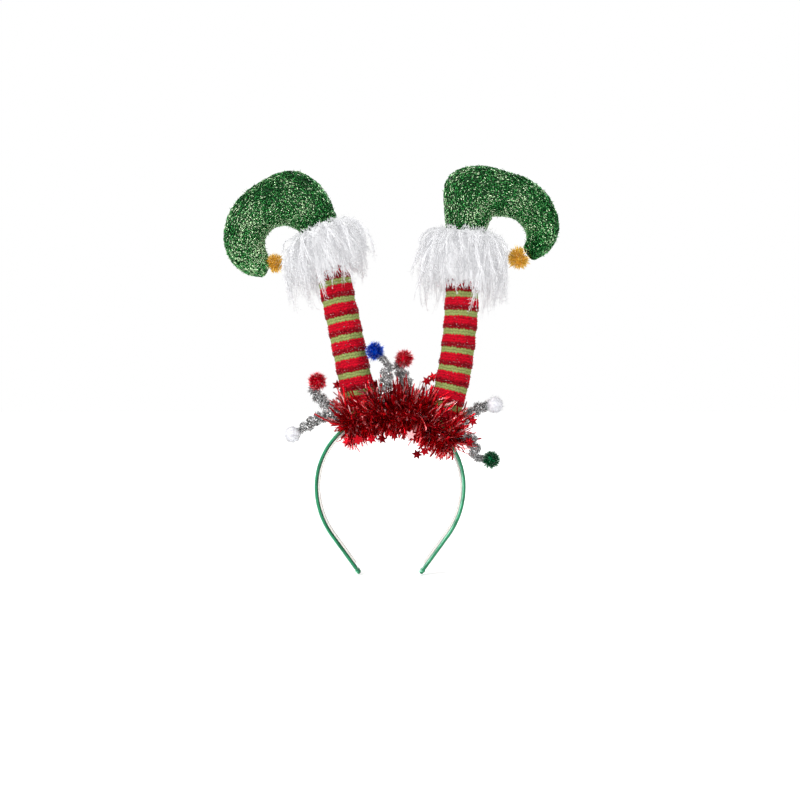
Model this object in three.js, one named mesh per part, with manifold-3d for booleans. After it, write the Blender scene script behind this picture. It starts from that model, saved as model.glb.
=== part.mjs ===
// An elf headband: a satin hair band that carries two upside-down stuffed elf legs, with a tinsel
// garland wound round their feet and six pompoms on coiled tinsel pipe cleaners.
// Millimetres. +X is the viewer's right, +Y points away from the viewer and +Z up. The origin is the
// inside of the band's crown, where the band sits on a head.
import * as THREE from 'three';
import { mergeVertices } from 'three/addons/utils/BufferGeometryUtils.js';
import Module from 'manifold-3d';

const wasm = await Module();
wasm.setup();

// Clearance that pieces keep where they touch
const SEAT_GAP = 0.3;

// Hair band: a round crown, sides that bend in and straight tails
const CROWN_RADIUS = 65; // to the outer face, so the band is twice this wide
const SIDE_RADIUS = 73;
const SIDE_BEND = 36; // degrees
const TAIL_LENGTH = 40;
const BAND_THICKNESS = 3.2;
const BAND_WIDTH = 10;
const TAIL_WIDTH = 6.6;
const KNOB_THICKNESS = 4.8;
const KNOB_LENGTH = 4.5;
const LINING_THICKNESS = 0.9;
const LINING_WIDTH = 8.6;
const LINING_TAIL_WIDTH = 5.2;
const LINING_SETBACK = 9; // the lining stops this far short of each end

// Stuffed legs
const LEG_LENGTH = 157; // from the band to the ankle, straight
const LEG_RADIUS = 14.4;
const LEG_MARGIN = 2; // degrees along the crown that what stands beside a leg keeps from it
const LEG_SINK = 1.2; // how far a leg's foot straddles the band's outer face
const STRIPE_PITCH = 16;
const FIRST_STRIPE = 21; // from the band to the middle of the first green stripe
const STRIPE_SWELL = 0.5; // the red stripes stand this far above the green ones' middles

// Stuffed shoes
const SHOE_LENGTH = 100;
const SHOE_RISE = 50.7; // from the ankle to the highest place of the sole
const SHOE_GIRTH = 38.4; // across the foot, in the plane of the curl
const SHOE_DEPTH = 34; // across the foot, from front to back
const COLLAR_LENGTH = 16; // from the ankle down to the end of the leg
const TOE_ROUNDING = 4;

// Fur cuffs
const CUFF_DROP = 8; // from the ankle down to the middle of the fur's backing
const CUFF_BACKING_HEIGHT = 9;
const CUFF_BACKING_THICKNESS = 2.4;
const LOCK_WIDTH = 13;
const LOCK_THICKNESS = 5;
const LOCK_FLARE = 20; // how far the outermost locks stand out from the backing
const LOCK_FALL = 54; // how far down the longest locks hang

// Tinsel garland
const GARLAND_MARGIN = 2.5; // how far it runs past the legs' outer edges, in degrees along the crown
const GARLAND_RADIUS = 24; // from the band's middle to the tips of the strips
const GARLAND_FAN = 0.8; // how much the strips at the two ends lean outwards
const BACKING_WALL = 1.5;
const STRIP_COUNT = 54;
const STRIP_WIDTH = 5.2;
const STRIP_THICKNESS = 1.6;
const STRIP_TAPER = 0.55; // a strip's tip, of its width
const STAR_RADIUS = 4.6;
const STAR_THICKNESS = 0.9;
const STAR_POINTS = 6;
const STAR_WAIST = 0.5; // the hollows between a star's points, as a share of its radius
const STRIPS_PER_STAR = 9;

// Tinsel springs and their pompoms
const SPRING_REACH = 40; // the scale of the springs' bends
const WIRE_RADIUS = 1.6;
const COIL_RADIUS = 3;
const COIL_PITCH = 6.2;
const WIRE_SIDES = 4;
const STEPS_PER_TURN = 6;
const POMPOM_RADIUS = 7.2;
const POMPOM_GRIP = 3.2; // how deep a spring's end sits in its pompom
const TUFT_SHARE = 0.2; // how deep the hollows between a pompom's tufts are, of its radius

// The two legs and their shoes. Angles are in degrees and lean outwards; out is the side that a leg
// stands on. A leg leaves the band at bandAngle, heads off at footLean, comes in at ankleLean, and its
// ends lie chord times LEG_LENGTH apart at chordLean. A shoe's sections run from its ankle to its toe: toe and rise place a section's middle,
// as shares of SHOE_LENGTH and SHOE_RISE; heading is the way it faces, in degrees above the toe's
// direction; girth and depth are shares of SHOE_GIRTH and SHOE_DEPTH.
const LEGS = [
  {
    name: 'left', out: -1, bandAngle: 21.3, footLean: 12, chord: 0.969, chordLean: 12.3,
    ankleLean: 14.5, shoeLean: 22.6, toePompomRadius: 7.3, toePompomLean: 176,
    sections: [
      { toe: -0.005, rise: 0.09, heading: 88, girth: 0.89, depth: 1.0 },
      { toe: 0.034, rise: 0.432, heading: 52, girth: 1.135, depth: 1.07 },
      { toe: 0.142, rise: 0.647, heading: 25, girth: 1.2, depth: 1.06 },
      { toe: 0.331, rise: 0.673, heading: -2, girth: 1.027, depth: 1.02 },
      { toe: 0.464, rise: 0.605, heading: -16, girth: 0.99, depth: 0.98 },
      { toe: 0.58, rise: 0.444, heading: -37, girth: 0.937, depth: 0.93 },
      { toe: 0.645, rise: 0.212, heading: -61, girth: 0.874, depth: 0.86 },
      { toe: 0.653, rise: -0.025, heading: -78, girth: 0.785, depth: 0.76 },
      { toe: 0.622, rise: -0.195, heading: -99, girth: 0.583, depth: 0.6 },
      { toe: 0.57, rise: -0.29, heading: -131, girth: 0.37, depth: 0.42 },
    ],
  },
  {
    name: 'right', out: 1, bandAngle: 39.3, footLean: 24, chord: 1.027, chordLean: 8.45,
    ankleLean: 3.5, shoeLean: 6.3, toePompomRadius: 8.6, toePompomLean: -146,
    sections: [
      { toe: -0.004, rise: 0.13, heading: 88, girth: 0.99, depth: 1.03 },
      { toe: -0.004, rise: 0.46, heading: 50, girth: 1.3, depth: 1.09 },
      { toe: 0.12, rise: 0.59, heading: 18, girth: 1.165, depth: 1.06 },
      { toe: 0.284, rise: 0.588, heading: 0, girth: 1.0, depth: 1.0 },
      { toe: 0.43, rise: 0.542, heading: -16, girth: 0.92, depth: 0.94 },
      { toe: 0.542, rise: 0.415, heading: -40, girth: 0.86, depth: 0.88 },
      { toe: 0.632, rise: 0.195, heading: -65, girth: 0.776, depth: 0.8 },
      { toe: 0.654, rise: -0.017, heading: -92, girth: 0.68, depth: 0.69 },
      { toe: 0.628, rise: -0.195, heading: -118, girth: 0.547, depth: 0.56 },
      { toe: 0.572, rise: -0.33, heading: -138, girth: 0.372, depth: 0.4 },
    ],
  },
];

// Layers of a cuff's locks. start is where a layer leaves the backing, as a share of its height, and
// turn staggers it, in locks. flare and fall are shares of LOCK_FLARE and LOCK_FALL, and lift is how
// far a lock rises before it falls, as a share of LOCK_FALL.
const LOCK_LAYERS = [
  { count: 12, start: 0.25, flare: 1, fall: 0.8, lift: 0.2, turn: 0 },
  { count: 9, start: -0.25, flare: 0.55, fall: 1, lift: 0, turn: 0.4 },
];

// The springs. Each leaves the garland's backing beside a leg, on the leg's outside or, where that is
// -1, its inside, shift degrees further towards +X; front is the share of the backing's half width
// that it leaves it at, towards the viewer. bend and tip are the axis's middle and end, from its root,
// as shares of SPRING_REACH, and away is the pompom's middle from the tip, as shares of POMPOM_RADIUS.
const SPRINGS = [
  {
    name: 'left_upper', beside: 'left', outside: 1, shift: 0, front: 0.5,
    bend: [-0.29, -0.14, 0.34], tip: [-0.69, -0.16, 0.7], away: [0.75, -0.42, 1.1], colour: 'red',
  },
  {
    name: 'left_lower', beside: 'left', outside: 1, shift: 0, front: -0.5,
    bend: [-0.27, 0.07, 0.42], tip: [-0.93, 0.07, -0.15], away: [-1.1, -0.14, -0.5], colour: 'white',
  },
  {
    name: 'centre_blue', beside: 'left', outside: -1, shift: 1, front: 0.6,
    bend: [0.08, -0.1, 0.4], tip: [0.11, -0.22, 0.97], away: [-1.5, -0.28, 1.4], colour: 'blue',
  },
  {
    name: 'centre_red', beside: 'left', outside: -1, shift: 19, front: -0.6,
    bend: [0.15, 0.05, 0.55], tip: [-0.24, 0, 0.96], away: [1, -0.42, 0.83], colour: 'red',
  },
  {
    name: 'right_upper', beside: 'right', outside: 1, shift: 0, front: -0.7,
    bend: [0.24, 0.16, 0.56], tip: [0.73, 0.08, 0.78], away: [1, -0.14, -0.08], colour: 'white',
  },
  {
    name: 'right_lower', beside: 'right', outside: 1, shift: 0, front: 0.7,
    bend: [0.44, -0.13, 0.3], tip: [0.46, -0.1, -0.37], away: [1.87, 0, -0.14], colour: 'green',
  },
];

const MATERIALS = {
  satin: { color: 0x1f8a5b, roughness: 0.35, metalness: 0 },
  lining: { color: 0xe6ddd4, roughness: 0.8, metalness: 0 },
  redFoil: { color: 0xa5061c, roughness: 0.25, metalness: 0.9 },
  stocking: { color: 0xc01124, roughness: 0.85, metalness: 0 },
  greenLurex: { color: 0x1a6b36, roughness: 0.4, metalness: 0.6 },
  fur: { color: 0xf2f1f1, roughness: 0.9, metalness: 0 },
  goldFoil: { color: 0xd9971f, roughness: 0.3, metalness: 0.9 },
  silverFoil: { color: 0xb9bcbc, roughness: 0.25, metalness: 1 },
  red: { color: 0xc40d22, roughness: 0.6, metalness: 0.2 },
  white: { color: 0xf1f0f4, roughness: 0.9, metalness: 0 },
  blue: { color: 0x0b3c9c, roughness: 0.5, metalness: 0.3 },
  green: { color: 0x065a35, roughness: 0.5, metalness: 0.3 },
};

const UP = new THREE.Vector3(0, 0, 1);
const BACK = new THREE.Vector3(0, 1, 0);
const radians = THREE.MathUtils.degToRad;
const FULL_TURN = 2 * Math.PI;
const GOLDEN_TURN = FULL_TURN * 0.618034;

// A unit vector in the band's plane, at an angle from straight up towards +X
function leaning(angle) {
  return new THREE.Vector3(Math.sin(angle), 0, Math.cos(angle));
}

// A repeatable value from -1 to 1 for the nth of many like things
function jitter(n, salt) {
  const wave = Math.sin(n * 12.9898 + salt * 78.233) * 43758.5453;
  return 2 * (wave - Math.floor(wave)) - 1;
}

// A cosine or sine bent so that an oval drawn with it nears a rectangle as square nears 0
function flattened(value, square) {
  return Math.sign(value) * Math.abs(value) ** square;
}

// A closed solid from a closed geometry
function solidOf(geometry) {
  geometry.deleteAttribute('normal');
  geometry.deleteAttribute('uv');
  const merged = mergeVertices(geometry);
  return new wasm.Manifold(new wasm.Mesh({
    numProp: 3,
    vertProperties: merged.attributes.position.array,
    triVerts: new Uint32Array(merged.index.array),
  }));
}

// A tube on the grid of a sphere, through rings that each have a middle and two half axes. Its ends
// close at a point that stands cap beyond the last ring; grow makes it larger all round.
function tube(rings, { sides = 12, square = 1, cap = 0, grow = 0 } = {}) {
  const rows = rings.length + 1;
  const geometry = new THREE.SphereGeometry(1, sides, rows);
  const { position, uv } = geometry.attributes;
  const headings = [
    rings[0].middle.clone().sub(rings[1].middle).normalize(),
    rings.at(-1).middle.clone().sub(rings.at(-2).middle).normalize(),
  ];
  const turn = rings.at(-1).side.clone().cross(rings.at(-1).lift).dot(headings[1]) > 0 ? -1 : 1;
  for (let i = 0; i < position.count; i++) {
    const row = Math.round((1 - uv.getY(i)) * rows);
    const ring = rings[THREE.MathUtils.clamp(row - 1, 0, rings.length - 1)];
    const vertex = ring.middle.clone();
    if (row === 0 || row === rows) {
      vertex.addScaledVector(headings[row === 0 ? 0 : 1], cap + grow);
    } else {
      const angle = turn * FULL_TURN * uv.getX(i);
      const stretch = (axis) => 1 + grow / axis.length();
      vertex.addScaledVector(ring.side, flattened(Math.cos(angle), square) * stretch(ring.side));
      vertex.addScaledVector(ring.lift, flattened(Math.sin(angle), square) * stretch(ring.lift));
    }
    position.setXYZ(i, vertex.x, vertex.y, vertex.z);
  }
  return solidOf(geometry);
}

// Rings of one radius along points, turned as little as possible from one to the next
function wireRings(points, radius) {
  let side = null;
  return points.map((middle, i) => {
    const before = points[Math.max(i - 1, 0)];
    const after = points[Math.min(i + 1, points.length - 1)];
    const heading = after.clone().sub(before).normalize();
    const reference = side ?? (Math.abs(heading.y) < 0.9 ? BACK : UP);
    side = reference.clone().addScaledVector(heading, -reference.dot(heading)).normalize();
    return {
      middle,
      side: side.clone().multiplyScalar(radius),
      lift: heading.cross(side).multiplyScalar(radius),
    };
  });
}

// The largest of the bodies that a cut leaves, so ends that a neighbour cuts off fall away
function mainBody(solid) {
  const bodies = solid.decompose();
  return bodies.reduce((largest, body) => (body.volume() > largest.volume() ? body : largest));
}

const CROWN_CENTRE = LINING_THICKNESS + SEAT_GAP + BAND_THICKNESS - CROWN_RADIUS;

// The band's line, inset from its outer face, from the crown's top down to the right-hand end
function bandHalf(inset) {
  const bend = radians(SIDE_BEND);
  const line = new THREE.Path();
  line.absarc(0, CROWN_CENTRE, CROWN_RADIUS - inset, Math.PI / 2, 0, true);
  line.absarc(CROWN_RADIUS - SIDE_RADIUS, CROWN_CENTRE, SIDE_RADIUS - inset, 0, -bend, true);
  const { x, y } = line.currentPoint;
  line.lineTo(x - TAIL_LENGTH * Math.sin(bend), y - TAIL_LENGTH * Math.cos(bend));
  return line;
}

// A place on the band's line, from -1 at the left-hand end through 0 at the crown to 1
function onBand(line, place) {
  const point = line.getPointAt(Math.abs(place));
  const tangent = line.getTangentAt(Math.abs(place));
  const out = place < 0 ? -1 : 1;
  return {
    middle: new THREE.Vector3(out * point.x, 0, point.y),
    outward: new THREE.Vector3(-out * tangent.y, 0, tangent.x),
  };
}

// A place on the round crown at an angle from its top, at a distance from the band's outer face
function onCrown(angle, height) {
  return leaning(angle).multiplyScalar(CROWN_RADIUS + height).add(new THREE.Vector3(0, 0, CROWN_CENTRE));
}

const BAND_RINGS = 30;
const BAND_SQUARENESS = 0.55;
const LINING_SQUARENESS = 0.4;

// Widths narrow from the crown to the ends, by the square of the distance
function narrowed(atCrown, atEnd, place) {
  return THREE.MathUtils.lerp(atCrown, atEnd, place * place);
}

function band(grow = 0) {
  const line = bandHalf(BAND_THICKNESS / 2);
  const knobStart = 1 - KNOB_LENGTH / line.getLength();
  const places = [];
  for (let i = 0; i <= BAND_RINGS; i++) places.push(knobStart * (2 * i / BAND_RINGS - 1));
  places.unshift(-1, -(1 + knobStart) / 2);
  places.push((1 + knobStart) / 2, 1);
  const rings = places.map((place) => {
    const { middle, outward } = onBand(line, place);
    const thickness = Math.abs(place) > knobStart + 0.001 ? KNOB_THICKNESS : BAND_THICKNESS;
    return {
      middle,
      side: outward.multiplyScalar(thickness / 2),
      lift: BACK.clone().multiplyScalar(narrowed(BAND_WIDTH, TAIL_WIDTH, place) / 2),
    };
  });
  return tube(rings, { sides: 10, square: BAND_SQUARENESS, cap: KNOB_THICKNESS / 4, grow });
}

function lining(grow = 0) {
  const line = bandHalf(BAND_THICKNESS + SEAT_GAP + LINING_THICKNESS / 2);
  const reach = 1 - LINING_SETBACK / line.getLength();
  const rings = [];
  for (let i = 0; i <= BAND_RINGS; i++) {
    const place = reach * (2 * i / BAND_RINGS - 1);
    const { middle, outward } = onBand(line, place);
    rings.push({
      middle,
      side: outward.multiplyScalar(LINING_THICKNESS / 2),
      lift: BACK.clone().multiplyScalar(narrowed(LINING_WIDTH, LINING_TAIL_WIDTH, place) / 2),
    });
  }
  return tube(rings, { sides: 6, square: LINING_SQUARENESS, grow });
}

// Half of the stretch of crown that a leg takes up, in degrees
const LEG_SPREAD = THREE.MathUtils.radToDeg(LEG_RADIUS / CROWN_RADIUS) + LEG_MARGIN;

// The edge of that stretch on a leg's outside, or its inside where side is -1
function besideLeg(leg, side) {
  return leg.out * (leg.bandAngle + side * LEG_SPREAD);
}

// A leg's axis, from the band to the ankle
function legAxis(leg) {
  const foot = onCrown(leg.out * radians(leg.bandAngle), -LEG_SINK);
  const ankle = leaning(leg.out * radians(leg.chordLean))
    .multiplyScalar(leg.chord * LEG_LENGTH)
    .add(foot);
  const reach = foot.distanceTo(ankle) / 3;
  return new THREE.CubicBezierCurve3(
    foot,
    leaning(leg.out * radians(leg.footLean)).multiplyScalar(reach).add(foot),
    leaning(leg.out * radians(leg.ankleLean)).multiplyScalar(-reach).add(ankle),
    ankle,
  );
}

const LEG_SIDES = 14;
const RINGS_PER_STRIPE = 2;

// A stuffed stocking, drawn in a little at the middle of each green stripe
function stocking(leg, grow = 0) {
  const axis = legAxis(leg);
  const length = axis.getLength();
  const step = STRIPE_PITCH / RINGS_PER_STRIPE;
  const places = [0];
  for (let s = FIRST_STRIPE % step; s < length - step / 2; s += step) {
    if (s > step / 2) places.push(s);
  }
  places.push(length);
  const rings = places.map((s) => {
    const middle = axis.getPointAt(s / length);
    const tangent = leaning(leg.out * radians(leg.bandAngle))
      .lerp(axis.getTangentAt(s / length), Math.min(1, s / FIRST_STRIPE))
      .normalize();
    const phase = FULL_TURN * (s - FIRST_STRIPE) / STRIPE_PITCH;
    const radius = LEG_RADIUS - STRIPE_SWELL * (1 + Math.cos(phase)) / 2;
    return {
      middle,
      side: tangent.clone().cross(BACK).multiplyScalar(radius),
      lift: BACK.clone().multiplyScalar(radius),
    };
  });
  return tube(rings, { sides: LEG_SIDES, cap: 1, grow });
}

// The ankle's middle, and the shoe's own two directions
function shoeFrame(leg) {
  const lean = leg.out * radians(leg.shoeLean);
  const up = leaning(lean);
  const toe = leaning(lean + leg.out * Math.PI / 2);
  return { up, toe, ankle: legAxis(leg).getPoint(1).addScaledVector(up, COLLAR_LENGTH) };
}

const SHOE_RINGS = 21;
const SHOE_SIDES = 16;

// A stuffed shoe: its collar, then the sections of its table with smooth ones between them
function shoe(leg, grow = 0) {
  const { up, toe, ankle } = shoeFrame(leg);
  const rows = [
    { toe: 0, rise: -COLLAR_LENGTH / SHOE_RISE, heading: 90, girth: 0.8, depth: 0.9 },
    ...leg.sections,
  ];
  const places = new THREE.CatmullRomCurve3(
    rows.map((row) => new THREE.Vector3(row.toe, row.rise, row.heading / 90)), false, 'catmullrom',
  );
  const sizes = new THREE.CatmullRomCurve3(
    rows.map((row) => new THREE.Vector3(row.girth, row.depth, 0)), false, 'catmullrom',
  );
  const rings = [];
  for (let i = 0; i < SHOE_RINGS; i++) {
    const place = places.getPoint(i / (SHOE_RINGS - 1));
    const size = sizes.getPoint(i / (SHOE_RINGS - 1));
    const heading = place.z * Math.PI / 2;
    const middle = ankle.clone()
      .addScaledVector(toe, place.x * SHOE_LENGTH)
      .addScaledVector(up, place.y * SHOE_RISE);
    const side = toe.clone().multiplyScalar(Math.sin(heading)).addScaledVector(up, -Math.cos(heading));
    rings.push({
      middle,
      side: side.multiplyScalar(size.x * SHOE_GIRTH / 2),
      lift: BACK.clone().multiplyScalar(size.y * SHOE_DEPTH / 2),
    });
  }
  return { solid: tube(rings, { sides: SHOE_SIDES, cap: TOE_ROUNDING / 2, grow }), rings };
}

const LOCK_TAPER = [0.65, 1, 0.5]; // a lock's root, middle and tip, of its width

// White fur: a backing round the ankle with locks that stand out and fall along the leg
function furCuff(leg) {
  const { up, toe, ankle } = shoeFrame(leg);
  const centre = ankle.clone().addScaledVector(up, -CUFF_DROP);
  const fall = legAxis(leg).getTangent(0.8).negate();
  const radius = SHOE_GIRTH / 2 + SEAT_GAP + CUFF_BACKING_THICKNESS;
  const backing = tube([-1, 1].map((end) => ({
    middle: centre.clone().addScaledVector(up, end * CUFF_BACKING_HEIGHT / 2),
    side: toe.clone().multiplyScalar(radius),
    lift: BACK.clone().multiplyScalar(radius * SHOE_DEPTH / SHOE_GIRTH),
  })), { sides: 24 });
  const pieces = [backing];
  LOCK_LAYERS.forEach((layer, depth) => {
    for (let n = 0; n < layer.count; n++) {
      const angle = FULL_TURN * (n + layer.turn) / layer.count;
      const outward = toe.clone().multiplyScalar(Math.cos(angle))
        .addScaledVector(BACK, Math.sin(angle));
      const across = toe.clone().multiplyScalar(-Math.sin(angle))
        .addScaledVector(BACK, Math.cos(angle));
      const flare = LOCK_FLARE * layer.flare * (1 + 0.12 * jitter(n, depth));
      const drop = LOCK_FALL * layer.fall * (1 + 0.12 * jitter(n, depth + 5));
      const root = centre.clone()
        .addScaledVector(outward, radius - CUFF_BACKING_THICKNESS)
        .addScaledVector(up, CUFF_BACKING_HEIGHT * layer.start);
      const line = new THREE.CubicBezierCurve3(
        root,
        root.clone().addScaledVector(outward, flare).addScaledVector(up, LOCK_FALL * layer.lift),
        root.clone().addScaledVector(outward, flare * 1.1).addScaledVector(fall, drop / 2),
        root.clone().addScaledVector(outward, flare).addScaledVector(fall, drop),
      );
      const rings = LOCK_TAPER.map((taper, k) => {
        const share = k / (LOCK_TAPER.length - 1);
        const lift = line.getTangent(share).cross(across).normalize();
        return {
          middle: line.getPoint(share),
          side: across.clone().multiplyScalar(LOCK_WIDTH / 2 * taper),
          lift: lift.multiplyScalar(LOCK_THICKNESS / 2 * taper),
        };
      });
      pieces.push(tube(rings, { sides: 3, cap: LOCK_THICKNESS }));
    }
  });
  return mainBody(wasm.Manifold.union(pieces)
    .subtract(stocking(leg, SEAT_GAP))
    .subtract(shoe(leg, SEAT_GAP).solid));
}

const TUFT_COLUMNS = 10;
const TUFT_ROWS = 8;

// A ball of tufts: a sphere's grid with every second point drawn in
function pompom(centre, radius) {
  const geometry = new THREE.SphereGeometry(1, TUFT_COLUMNS, TUFT_ROWS);
  const { position, uv } = geometry.attributes;
  for (let i = 0; i < position.count; i++) {
    const row = Math.round(uv.getY(i) * TUFT_ROWS);
    const pole = row === 0 || row === TUFT_ROWS;
    const column = pole ? 0 : Math.round(uv.getX(i) * TUFT_COLUMNS);
    const reach = radius * ((row + column) % 2 ? 1 - TUFT_SHARE : 1);
    position.setXYZ(
      i,
      centre.x + reach * position.getX(i),
      centre.y + reach * position.getY(i),
      centre.z + reach * position.getZ(i),
    );
  }
  return solidOf(geometry);
}

// The pompom on a shoe's toe, seated round the toe's end
function toePompom(leg) {
  const { solid, rings } = shoe(leg, SEAT_GAP);
  const { up, toe } = shoeFrame(leg);
  const lean = radians(leg.toePompomLean);
  const centre = rings.at(-1).middle.clone()
    .addScaledVector(toe, (leg.toePompomRadius + TOE_ROUNDING / 2) * Math.cos(lean))
    .addScaledVector(up, (leg.toePompomRadius + TOE_ROUNDING / 2) * Math.sin(lean));
  return mainBody(pompom(centre, leg.toePompomRadius).subtract(solid));
}

const BACKING_HALF_WIDTH = BAND_WIDTH / 2 + SEAT_GAP + BACKING_WALL;
const BACKING_HALF_HEIGHT = (BAND_THICKNESS + LINING_THICKNESS + 3 * SEAT_GAP) / 2 + BACKING_WALL;
// The backing's middle, from the band's outer face
const BACKING_MIDDLE = SEAT_GAP + BACKING_WALL - BACKING_HALF_HEIGHT;
const BACKING_RINGS = 13;
const BACKING_SQUARENESS = 0.7;

// Where the garland's stretch of crown starts and ends, in degrees from the crown's top
const [GARLAND_START, GARLAND_END] = LEGS.map((leg) => besideLeg(leg, 1) + leg.out * GARLAND_MARGIN);

// The garland's backing before its hollow is cut
function garlandBacking() {
  const rings = [];
  for (let i = 0; i < BACKING_RINGS; i++) {
    const share = i / (BACKING_RINGS - 1);
    const angle = radians(THREE.MathUtils.lerp(GARLAND_START, GARLAND_END, share));
    rings.push({
      middle: onCrown(angle, BACKING_MIDDLE),
      side: leaning(angle).multiplyScalar(BACKING_HALF_HEIGHT),
      lift: BACK.clone().multiplyScalar(BACKING_HALF_WIDTH),
    });
  }
  return tube(rings, { sides: 10, square: BACKING_SQUARENESS });
}

// A foil star at a place, facing across a strip's direction
function star(middle, heading, facing) {
  const outline = new THREE.Shape();
  for (let i = 0; i < 2 * STAR_POINTS; i++) {
    const reach = i % 2 ? STAR_RADIUS * STAR_WAIST : STAR_RADIUS;
    const angle = Math.PI * i / STAR_POINTS;
    outline[i ? 'lineTo' : 'moveTo'](reach * Math.cos(angle), reach * Math.sin(angle));
  }
  const geometry = new THREE.ExtrudeGeometry(outline, { depth: STAR_THICKNESS, bevelEnabled: false });
  const across = facing.clone().cross(heading);
  geometry.translate(0, 0, -STAR_THICKNESS / 2);
  geometry.applyMatrix4(new THREE.Matrix4().makeBasis(heading, across.negate(), facing.clone().negate()));
  geometry.translate(middle.x, middle.y, middle.z);
  return solidOf(geometry);
}

// A strip's line through points of the garland's cross-section. Each point is a height above the
// backing's middle, a distance to the back and a distance along the band.
function stripLine(angle, points) {
  const root = onCrown(angle, BACKING_MIDDLE);
  const along = leaning(angle + Math.PI / 2);
  return points.map(([height, back, forward]) => root.clone()
    .addScaledVector(leaning(angle), height)
    .addScaledVector(BACK, back)
    .addScaledVector(along, forward));
}

// Foil strips, some with a star at the end, all round a backing that is wound round the crown. Where
// a leg stands on the band, the strips that would run into it rise in front of it and behind it.
function tinselGarland(springs) {
  const pieces = [garlandBacking()];
  for (let n = 0; n < STRIP_COUNT; n++) {
    const share = (n + 0.5) / STRIP_COUNT;
    const degrees = THREE.MathUtils.lerp(GARLAND_START + 2, GARLAND_END - 2, share);
    const angle = radians(degrees);
    const around = n * GOLDEN_TURN;
    const fan = GARLAND_FAN * (2 * share - 1) ** 5 + 0.2 * jitter(n, 1);
    const length = GARLAND_RADIUS * (1 + 0.1 * jitter(n, 2)) / Math.hypot(1, fan);
    const height = length * Math.cos(around);
    const back = length * Math.sin(around);
    const forward = length * fan;
    const clear = Math.sign(back) * (LEG_RADIUS + STRIP_THICKNESS + 2);
    const underLeg = LEGS.some((leg) => Math.abs(degrees - leg.out * leg.bandAngle) < LEG_SPREAD);
    const root = [
      (BACKING_HALF_HEIGHT - BACKING_WALL / 2) * flattened(Math.cos(around), BACKING_SQUARENESS),
      (BACKING_HALF_WIDTH - BACKING_WALL / 2) * flattened(Math.sin(around), BACKING_SQUARENESS),
      0,
    ];
    const points = underLeg && height > 0
      ? [[-1.5, root[1], 0], [-1, clear, forward / 3], [height, clear, forward]]
      : [root, [height, back, forward]];
    const line = stripLine(angle, points);
    const end = line.at(-1);
    const heading = end.clone().sub(line.at(-2)).normalize();
    const across = leaning(angle + Math.PI / 2);
    const lift = across.clone().cross(heading).normalize();
    const side = heading.clone().cross(lift);
    const rings = line.map((middle, i) => {
      const taper = i === line.length - 1 ? STRIP_TAPER : 1;
      return {
        middle,
        side: side.clone().multiplyScalar(STRIP_WIDTH / 2 * taper),
        lift: lift.clone().multiplyScalar(STRIP_THICKNESS / 2 * taper),
      };
    });
    pieces.push(tube(rings, { sides: 3, cap: STRIP_WIDTH / 2 }));
    if (n % STRIPS_PER_STAR === 0) {
      pieces.push(star(end, heading, lift));
    }
  }
  let garland = wasm.Manifold.union(pieces)
    .subtract(band(SEAT_GAP))
    .subtract(lining(SEAT_GAP));
  for (const leg of LEGS) garland = garland.subtract(stocking(leg, SEAT_GAP));
  for (const { clearance, socket } of springs) {
    garland = garland.subtract(clearance).subtract(socket);
  }
  return mainBody(garland);
}

const ENVELOPE_SIDES = 8;

// A coiled pipe cleaner from the garland's backing to its pompom, and the room that it needs
function spring(row) {
  const leg = LEGS.find(({ name }) => name === row.beside);
  const angle = radians(besideLeg(leg, row.outside) + row.shift);
  const outer = BACKING_MIDDLE + BACKING_HALF_HEIGHT + SEAT_GAP;
  const root = onCrown(angle, outer).addScaledVector(BACK, -row.front * BACKING_HALF_WIDTH);
  const bend = new THREE.Vector3(...row.bend).multiplyScalar(SPRING_REACH).add(root);
  const tip = new THREE.Vector3(...row.tip).multiplyScalar(SPRING_REACH).add(root);
  const centre = new THREE.Vector3(...row.away).multiplyScalar(POMPOM_RADIUS).add(tip);
  const axis = new THREE.QuadraticBezierCurve3(root, bend, tip);
  const turns = Math.max(1, Math.round(axis.getLength() / COIL_PITCH) - 1);
  const steps = turns * STEPS_PER_TURN;
  const points = [root];
  for (let i = 1; i <= steps; i++) {
    const share = i / (steps + 1);
    const ramp = Math.min(1, share * turns / 0.7, (1 - share) * turns / 0.5);
    const tangent = axis.getTangentAt(share);
    const across = tangent.clone().cross(BACK).normalize();
    const over = tangent.clone().cross(across);
    const phase = FULL_TURN * i / STEPS_PER_TURN;
    points.push(axis.getPointAt(share)
      .addScaledVector(across, COIL_RADIUS * ramp * Math.cos(phase))
      .addScaledVector(over, COIL_RADIUS * ramp * Math.sin(phase)));
  }
  const entry = tip.clone().sub(centre).setLength(POMPOM_RADIUS - POMPOM_GRIP).add(centre);
  points.push(tip, entry);
  const rings = wireRings(points, WIRE_RADIUS);
  const envelope = [0, 0.25, 0.5, 0.75, 1].map((share) => axis.getPointAt(share));
  const room = (COIL_RADIUS + WIRE_RADIUS + SEAT_GAP) / Math.cos(Math.PI / ENVELOPE_SIDES);
  return {
    row,
    centre,
    solid: tube(rings, { sides: WIRE_SIDES }),
    socket: tube(rings, { sides: WIRE_SIDES, grow: SEAT_GAP }),
    clearance: tube(wireRings(envelope, room), { sides: ENVELOPE_SIDES }),
  };
}

const headband = new THREE.Group();

// A named mesh of a solid
function add(name, solid, material) {
  const { vertProperties, triVerts } = solid.simplify(0.005).getMesh();
  const geometry = new THREE.BufferGeometry()
    .setAttribute('position', new THREE.BufferAttribute(new Float32Array(vertProperties), 3))
    .setIndex(new THREE.BufferAttribute(new Uint32Array(triVerts), 1));
  geometry.computeVertexNormals();
  const mesh = new THREE.Mesh(geometry, new THREE.MeshStandardMaterial(MATERIALS[material]));
  mesh.name = name;
  headband.add(mesh);
}

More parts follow.
